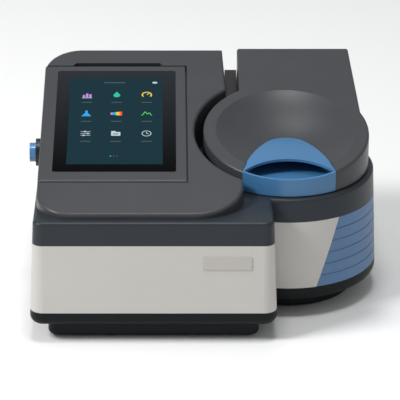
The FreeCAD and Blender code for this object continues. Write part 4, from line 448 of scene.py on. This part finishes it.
class INSTRUMENT_OT_insides(bpy.types.Operator):
    """Finish the parts behind the covers: optics, turret, hinge, fan, boards and sockets"""
    bl_idname = "instrument.insides"
    bl_label = "Inner finishes"

    def execute(self, context):
        black = moulded("inner black plastic", (0.022, 0.022, 0.024), 0.5, 0.0008)
        cream = moulded("gear plastic", (0.72, 0.70, 0.62), 0.4, 0.001)
        anodised = metal("black anodised", (0.035, 0.036, 0.040), 0.45, (1, 1, 1), 0.0008)
        bright = metal("milled aluminium", (0.72, 0.73, 0.75), 0.32, (1, 12, 1))
        steel = metal("ground steel", (0.55, 0.55, 0.56), 0.28, (1, 25, 25), 0.001)
        brass = metal("turned brass", (0.78, 0.58, 0.26), 0.28, (1, 1, 30), 0.001)
        finishes = {
            black: ("display_back_cover", "lcd_module", "power_switch", "lid_liner", "rear_spine",
                    "turret_motor", "rear_panel", "power_inlet", "fan_frame", "fan_rotor",
                    "turret_knob", "filter_motor", "grating_motor"),
            cream: ("turret_gear",),
            anodised: ("sample_well", "cell_turret", "lamp_housing", "lens_mount", "filter_wheel",
                       "entrance_slit", "exit_slit", "grating_stage"),
            bright: ("lid_hinge_arms", "hinge_bracket", "motor_bracket", "optics_plate"),
            steel: ("display_hinge_rod", "hinge_pin", "turret_spindle", "data_sockets",
                    "network_socket", "rear_panel_screws", "reference_detector"),
            brass: ("motor_pinion", "turret_bearing"),
            circuit_board("circuit board"): ("display_board", "main_board", "sample_detector"),
            clear("quartz", (0.93, 0.97, 1.0)): ("beam_windows", "condenser_lens", "beam_splitter",
                                                 "flash_lamp"),
            mirror("coated mirror", (0.90, 0.91, 0.93)): ("collimating_mirror", "focusing_mirror",
                                                          "fold_mirrors"),
            ruled("ruled grating"): ("grating",),
        }
        for material, names in finishes.items():
            for name in names:
                paint(name, material)
        return {"FINISHED"}


# The lit picture on the slope, in millimetres: its middle, its size, the places of the signs
# from its middle, and the tops of its layers
PICTURE_X = -88.3
PICTURE_UP = 156.5
PICTURE_WIDTH = 94.2
PICTURE_HEIGHT = 150.7
COLUMNS = (-29.5, 0.5, 31.0)
ROWS = (44.0, 10.5, -24.0)
TITLE_RISE = 66
CAPTION_DROP = 13.5
DOTS_DROP = 62.5
DOT_STEP = 3.2
FIELD_TOP = 0.10
SIGN_TOP = 0.14
OVER_SIGN = SIGN_TOP + 0.01
LABEL_TOP = SIGN_TOP + 0.04


def bars_sign(shapes, x, up, half):
    """Three bars on a line."""
    for step, height in enumerate((0.9, 1.5, 1.2)):
        shapes.bar("violet", x + (step - 1) * half * 0.7, up - half * (1.0 - height / 2),
                   half * 0.5, half * height, SIGN_TOP)
    shapes.bar("pale", x, up - half * 1.2, half * 2.2, half * 0.2, SIGN_TOP)


def drop_sign(shapes, x, up, half):
    """A drop: a disc with a point."""
    shapes.disc("green", x, up - half * 0.2, half * 0.75, SIGN_TOP)
    shapes.polygon("green", [(x - half * 0.62, up + half * 0.2), (x + half * 0.62, up + half * 0.2),
                             (x, up + half * 1.25)], OVER_SIGN)


def dial_sign(shapes, x, up, half):
    """A dial with its hand."""
    shapes.arc("yellow", x, up, half * 1.15, half * 0.3, SIGN_TOP, -40, 260)
    shapes.stroke("pale", [(x, up), (x + half * 0.5, up + half * 0.55)], half * 0.2, SIGN_TOP)


def flask_sign(shapes, x, up, half):
    """A flask: a cone under a neck."""
    shapes.polygon("blue", [(x - half * 1.1, up - half), (x + half * 1.1, up - half),
                            (x + half * 0.28, up + half * 0.3), (x - half * 0.28, up + half * 0.3)],
                   SIGN_TOP)
    shapes.bar("blue", x, up + half * 0.7, half * 0.56, half * 0.9, SIGN_TOP)


def colours_sign(shapes, x, up, half):
    """Six colour steps that grow to the right."""
    for step, finish in enumerate(("violet", "blue", "green", "yellow", "orange", "red")):
        shapes.bar(finish, x + (step - 2.5) * half * 0.42, up, half * 0.42,
                   half * (0.8 + 0.14 * step), SIGN_TOP)


def peaks_sign(shapes, x, up, half):
    """A curve with a high and a lower peak."""
    curve = []
    for n in range(20):
        high = 1.3 * math.exp(-((n - 7) / 3.0) ** 2)
        lower = 0.9 * math.exp(-((n - 14) / 2.4) ** 2)
        curve.append((x + half * (n / 8 - 1.2), up + half * (high + lower - 0.6)))
    shapes.stroke("leaf", curve, half * 0.18, SIGN_TOP)


def sliders_sign(shapes, x, up, half):
    """Three sliders."""
    for step, knob in enumerate((-0.4, 0.5, -0.1)):
        level = up + (step - 1) * half * 0.7
        shapes.bar("pale", x, level, half * 2.1, half * 0.14, SIGN_TOP)
        shapes.disc("pale", x + knob * half, level, half * 0.26, OVER_SIGN, 16)


def tray_sign(shapes, x, up, half):
    """A tray with a tab and a darker label."""
    shapes.bar("pale", x, up - half * 0.15, half * 2.0, half * 1.4, SIGN_TOP, half * 0.15)
    shapes.bar("pale", x - half * 0.5, up + half * 0.7, half * 0.95, half * 0.4, OVER_SIGN)
    shapes.bar("dim", x, up - half * 0.2, half * 1.2, half * 0.3, LABEL_TOP)


def timer_sign(shapes, x, up, half):
    """A clock face with two hands."""
    shapes.arc("pale", x, up, half * 1.05, half * 0.18, SIGN_TOP)
    shapes.stroke("pale", [(x, up + half * 0.6), (x, up), (x + half * 0.45, up - half * 0.2)],
                  half * 0.16, SIGN_TOP)


SIGNS = ((bars_sign, drop_sign, dial_sign), (flask_sign, colours_sign, peaks_sign),
         (sliders_sign, tray_sign, timer_sign))


class INSTRUMENT_OT_screen(bpy.types.Operator):
    """Finish the cover glass and draw the lit picture with its plain signs"""
    bl_idname = "instrument.screen"
    bl_label = "Display picture"

    def execute(self, context):
        look = context.scene.screen_look
        paint("display_glass", self.glass())
        colours = {
            "field": (0.0075, 0.026, 0.036), "pale": (0.42, 0.50, 0.54),
            "dim": (0.055, 0.085, 0.10), "violet": (0.42, 0.22, 0.62), "green": (0.02, 0.42, 0.26),
            "yellow": (0.72, 0.50, 0.05), "blue": (0.03, 0.28, 0.66), "red": (0.80, 0.06, 0.05),
            "orange": (0.85, 0.32, 0.03), "leaf": (0.08, 0.60, 0.10)}
        shapes = SlopeShapes({name: lit("screen " + name, colour, look.brightness)
                              for name, colour in colours.items()})
        title = PICTURE_UP + TITLE_RISE
        shapes.bar("field", PICTURE_X, PICTURE_UP - 0.7, PICTURE_WIDTH, PICTURE_HEIGHT, FIELD_TOP)
        shapes.bar("dim", PICTURE_X - 2, title, 22, 1.6, SIGN_TOP, 0.6)
        shapes.bar("pale", PICTURE_X + 39, title, 5.0, 3.2, SIGN_TOP, 1.4)
        columns = [PICTURE_X + across for across in COLUMNS]
        rows = [PICTURE_UP + rise for rise in ROWS]
        for up, signs in zip(rows, SIGNS):
            for x, sign in zip(columns, signs):
                sign(shapes, x, up, look.icon / MM / 2)
        for x in columns:
            for up in rows:
                shapes.bar("dim", x, up - CAPTION_DROP, 10.5, 1.3, SIGN_TOP, 0.5)
        for step, finish in enumerate(("green", "dim", "dim")):
            shapes.disc(finish, PICTURE_X - 4 + DOT_STEP * step, PICTURE_UP - DOTS_DROP, 0.8,
                        SIGN_TOP, 16)
        shapes.finish("screen_picture", "display", "screen_glass")
        return {"FINISHED"}

    def glass(self):
        """Black cover glass with a painted reflection that makes its colour paler up the slope, and
        a trace of haze in its gloss.
        """
        finish = Finish("cover glass")
        haze = finish.noise(0.03, 5, rough=0.6)
        up = finish.node("ShaderNodeSeparateXYZ", values={"Vector": finish.place()}, output="Y")
        # Painted reflection: the colour runs from near black low on the glass to paler up the slope,
        # standing in for the soft lights mirrored in it.
        sheen = finish.node("ShaderNodeMapRange", values={
            "Value": up + haze * 0.02, "From Min": -0.05, "From Max": 0.11})
        low, high = (0.0012, 0.0016, 0.002), (0.019, 0.022, 0.026)
        finish.set(Base_Color=finish.blend(sheen, low, high), Roughness=haze * 0.08 + 0.06,
                   Specular_IOR_Level=0.06)
        return finish.material


def repeat_tree(name, build):
    """A Geometry Nodes tree that copies one small shape onto points and makes the copies real."""
    tree = bpy.data.node_groups.new(name, "GeometryNodeTree")
    for socket, kind in (("Geometry", "NodeSocketGeometry"), ("Size", "NodeSocketFloat"),
                         ("Finish", "NodeSocketMaterial")):
        tree.interface.new_socket(socket, in_out="INPUT", socket_type=kind)
    tree.interface.new_socket("Geometry", in_out="OUTPUT", socket_type="NodeSocketGeometry")
    start = tree.nodes.new("NodeGroupInput")
    end = tree.nodes.new("NodeGroupOutput")
    copies = tree.nodes.new("GeometryNodeInstanceOnPoints")
    real = tree.nodes.new("GeometryNodeRealizeInstances")
    finish = tree.nodes.new("GeometryNodeSetMaterial")
    tree.links.new(start.outputs["Geometry"], copies.inputs["Points"])
    tree.links.new(build(tree), copies.inputs["Instance"])
    tree.links.new(start.outputs["Size"], copies.inputs["Scale"])
    tree.links.new(copies.outputs["Instances"], real.inputs["Geometry"])
    tree.links.new(real.outputs["Geometry"], finish.inputs["Geometry"])
    tree.links.new(start.outputs["Finish"], finish.inputs["Material"])
    tree.links.new(finish.outputs["Geometry"], end.inputs["Geometry"])
    return tree


def screw_head(tree):
    """A pan head, one metre in radius before it is scaled, with a cross recess cut into it."""
    def made(kind, settings=None, values=None):
        node = tree.nodes.new(kind)
        for key, value in (settings or {}).items():
            setattr(node, key, value)
        for key, value in (values or {}).items():
            node.inputs[key].default_value = value
        return node

    head = made("GeometryNodeMeshCylinder", values={"Vertices": 24, "Radius": 1.0, "Depth": 0.5})
    cut = made("GeometryNodeMeshBoolean", {"operation": "DIFFERENCE"})
    tree.links.new(head.outputs["Mesh"], cut.inputs["Mesh 1"])
    for size in ((1.1, 0.22, 0.4), (0.22, 1.1, 0.4)):
        slot = made("GeometryNodeMeshCube", values={"Size": size})
        move = made("GeometryNodeTransform", values={"Translation": (0, 0, 0.25)})
        tree.links.new(slot.outputs["Mesh"], move.inputs["Geometry"])
        tree.links.new(move.outputs["Geometry"], cut.inputs["Mesh 2"])
    return cut.outputs["Mesh"]


def chip(tree):
    """A flat moulded chip, one metre wide before it is scaled."""
    cube = tree.nodes.new("GeometryNodeMeshCube")
    cube.inputs["Size"].default_value = (1.0, 0.7, 0.35)
    return cube.outputs["Mesh"]


def repeated(name, points, size, material, body, build, turn=None):
    """Copy a small shape to each point; turn lays each copy over, and the points stay put."""
    base = bpy.data.meshes.new(name + "_points")
    turn = turn or Matrix.Identity(4)
    back = turn.inverted()
    base.from_pydata([back @ Vector(point) for point in points], [], [])
    carrier = bpy.data.objects.new(name + "_carrier", base)
    bpy.context.scene.collection.objects.link(carrier)
    modifier = carrier.modifiers.new("copies", "NODES")
    modifier.node_group = repeat_tree(name + " copies", build)
    for item in modifier.node_group.interface.items_tree:
        if item.in_out == "INPUT" and item.name in ("Size", "Finish"):
            modifier[item.identifier] = size if item.name == "Size" else material
    graph = bpy.context.evaluated_depsgraph_get()
    mesh = bpy.data.meshes.new_from_object(carrier.evaluated_get(graph))
    mesh.transform(turn)
    bpy.data.objects.remove(carrier)
    mesh.name = name
    return add_piece(name, mesh, body, material, 35)


# Sizes and places of the small repeated parts, in metres
BASE_SCREW = 0.0032
BASE_SCREW_SINK = 0.0002
BASE_SCREW_PLACES = ((-0.105, -0.100), (0.015, -0.100), (-0.105, 0.095), (0.015, 0.095),
                     (0.120, 0.003))
OPTICS_SCREW = 0.0028
OPTICS_SCREW_RISE = 0.0006
CHIP = 0.0036
CHIP_EDGE = 0.008
CHIP_COLUMNS, CHIP_COLUMN_STEP = 9, 0.0130
CHIP_ROWS, CHIP_ROW_STEP = 12, 0.0140
CHIP_JITTER = 0.001
CHIP_SHARE = 0.55
CHIP_LEVEL = 0.0096 + 0.0006


class INSTRUMENT_OT_fixings(bpy.types.Operator):
    """Add the screws under the base and on the optics plate, and the chips on the main board"""
    bl_idname = "instrument.fixings"
    bl_label = "Screws and chips"

    def execute(self, context):
        steel = metal("screw steel", (0.45, 0.45, 0.47), 0.32, (1, 1, 1), 0.001)
        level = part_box("base_tray")[0].z - BASE_SCREW_SINK
        repeated("base_screws", [(x, y, level) for x, y in BASE_SCREW_PLACES], BASE_SCREW, steel,
                 "housing", screw_head, Matrix.Rotation(math.pi, 4, "X"))
        low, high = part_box("optics_plate")
        level = high.z + OPTICS_SCREW_RISE
        corners = [(x, y, level) for x in (low.x + 0.014, -0.030)
                   for y in (low.y + 0.008, high.y - 0.006)]
        corners.append((0.0385, high.y - 0.014, level))
        repeated("optics_screws", corners, OPTICS_SCREW, steel, "housing", screw_head)
        dark = moulded("chip plastic", (0.015, 0.015, 0.017), 0.4, 0.0005)
        repeated("board_chips", self.chip_places(), CHIP, dark, "housing", chip)
        return {"FINISHED"}

    def chip_places(self):
        """Uneven rows over the main board, with gaps where no chip sits."""
        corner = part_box("main_board")[0]
        dice = random.Random(7)
        places = []
        for column in range(CHIP_COLUMNS):
            for row in range(CHIP_ROWS):
                x = (corner.x + CHIP_EDGE + column * CHIP_COLUMN_STEP
                     + dice.uniform(-CHIP_JITTER, CHIP_JITTER))
                y = (corner.y + CHIP_EDGE + row * CHIP_ROW_STEP
                     + dice.uniform(-CHIP_JITTER, CHIP_JITTER))
                if dice.random() < CHIP_SHARE:
                    places.append((x, y, corner.z + CHIP_LEVEL))
        return places


# The floor's corners, in metres
FLOOR = ((-8, -8, 0), (8, -8, 0), (8, 14, 0), (-8, 14, 0))

# The soft lights' sizes and places, in metres
LEFT_SIZE, LEFT_PLACE = (0.8, 0.6), (-2.0, -0.95, 2.2)
TOP_SIZE, TOP_PLACE = (0.8, 0.6), (0.0, -0.35, 2.8)
BACK_SIZE, BACK_PLACE = (0.6, 0.5), (0.0, 1.0, 2.65)
BACK_SHARE = 0.3

# The heights of a ray's direction between which the surroundings turn from horizon to zenith
HORIZON_ENDS = 0.35
ZENITH_STARTS = 0.85

# The photograph's viewpoint, in metres and degrees, and its lens, in millimetres
EYE = (-0.04105, -2.1658, 0.9879)
LOOK_DOWN = 22.54
SENSOR_WIDTH = 36
LENS = 209.99
SHIFT_ACROSS = 0.0928


class INSTRUMENT_OT_stage(bpy.types.Operator):
    """Pale floor, soft lights and the camera at the photograph's angle"""
    bl_idname = "instrument.stage"
    bl_label = "Stage"

    def execute(self, context):
        scene, look = context.scene, context.scene.stage_look
        mesh = bpy.data.meshes.new("floor")
        mesh.from_pydata(FLOOR, [], [(0, 1, 2, 3)])
        floor = bpy.data.objects.new("floor", mesh)
        scene.collection.objects.link(floor)
        paper = Finish("paper floor")
        paper.set(Base_Color=look.floor, Roughness=0.9, Specular_IOR_Level=0.1)
        mesh.materials.append(paper.material)
        self.surroundings(look.horizon, look.zenith)
        self.lamp("left_softbox", look.key, LEFT_SIZE, LEFT_PLACE)
        self.lamp("top_softbox", look.top, TOP_SIZE, TOP_PLACE)
        self.lamp("back_softbox", look.top * BACK_SHARE, BACK_SIZE, BACK_PLACE)
        camera = bpy.data.cameras.new("camera")
        camera.sensor_width = SENSOR_WIDTH
        camera.lens = LENS
        camera.shift_x = SHIFT_ACROSS
        eye = bpy.data.objects.new("camera", camera)
        scene.collection.objects.link(eye)
        eye.location = EYE
        eye.rotation_euler = (math.radians(90 - LOOK_DOWN), 0, 0)
        scene.camera = eye
        scene.view_settings.view_transform = "Standard"
        return {"FINISHED"}

    def surroundings(self, horizon, zenith):
        """A room that is bright at eye level and dark overhead."""
        world = bpy.data.worlds.new("studio")
        bpy.context.scene.world = world
        world.use_nodes = True
        tree = world.node_tree
        direction = tree.nodes.new("ShaderNodeTexCoord")
        parts = tree.nodes.new("ShaderNodeSeparateXYZ")
        ramp = tree.nodes.new("ShaderNodeMapRange")
        ramp.interpolation_type = "SMOOTHSTEP"
        for key, value in (("From Min", HORIZON_ENDS), ("From Max", ZENITH_STARTS),
                           ("To Min", horizon), ("To Max", zenith)):
            ramp.inputs[key].default_value = value
        tree.links.new(direction.outputs["Generated"], parts.inputs["Vector"])
        tree.links.new(parts.outputs["Z"], ramp.inputs["Value"])
        tree.links.new(ramp.outputs["Result"], tree.nodes["Background"].inputs["Strength"])
        tree.nodes["Background"].inputs["Color"].default_value = (0.97, 0.985, 1.0, 1)

    def lamp(self, name, power, size, place):
        """A rectangular soft light that faces the object."""
        data = bpy.data.lights.new(name, "AREA")
        data.shape = "RECTANGLE"
        data.size, data.size_y = size
        data.energy = power
        thing = bpy.data.objects.new(name, data)
        bpy.context.scene.collection.objects.link(thing)
        thing.location = place
        thing.rotation_euler = (-Vector(place)).to_track_quat("-Z", "Y").to_euler()


class INSTRUMENT_PT_panel(bpy.types.Panel):
    """The instrument's sizes, colours and steps"""
    bl_idname = "INSTRUMENT_PT_panel"
    bl_label = "Instrument"
    bl_space_type = "VIEW_3D"
    bl_region_type = "UI"
    bl_category = "Instrument"

    def draw(self, context):
        column = self.layout.column()
        for owner in ("case_paint", "screen_look", "stage_look"):
            group = getattr(context.scene, owner)
            for key in group.bl_rna.properties.keys():
                if key not in ("rna_type", "name"):
                    column.prop(group, key)
        for step in STEPS:
            column.operator(step.bl_idname)


STEPS = (INSTRUMENT_OT_case, INSTRUMENT_OT_insides, INSTRUMENT_OT_screen, INSTRUMENT_OT_fixings,
         INSTRUMENT_OT_stage)
GROUPS = {"case_paint": CasePaint, "screen_look": ScreenLook, "stage_look": StageLook}


def register():
    """Register the property groups, the steps and the panel."""
    for name, group in GROUPS.items():
        bpy.utils.register_class(group)
        setattr(bpy.types.Scene, name, bpy.props.PointerProperty(type=group))
    for step in STEPS + (INSTRUMENT_PT_panel,):
        bpy.utils.register_class(step)


def unregister():
    """Take back everything that register added."""
    for step in (INSTRUMENT_PT_panel,) + STEPS:
        bpy.utils.unregister_class(step)
    for name, group in GROUPS.items():
        delattr(bpy.types.Scene, name)
        bpy.utils.unregister_class(group)


def main():
    """Build every piece in order."""
    register()
    bpy.ops.instrument.case()
    bpy.ops.instrument.insides()
    bpy.ops.instrument.screen()
    bpy.ops.instrument.fixings()
    bpy.ops.instrument.stage()


if __name__ == "__main__":
    main()
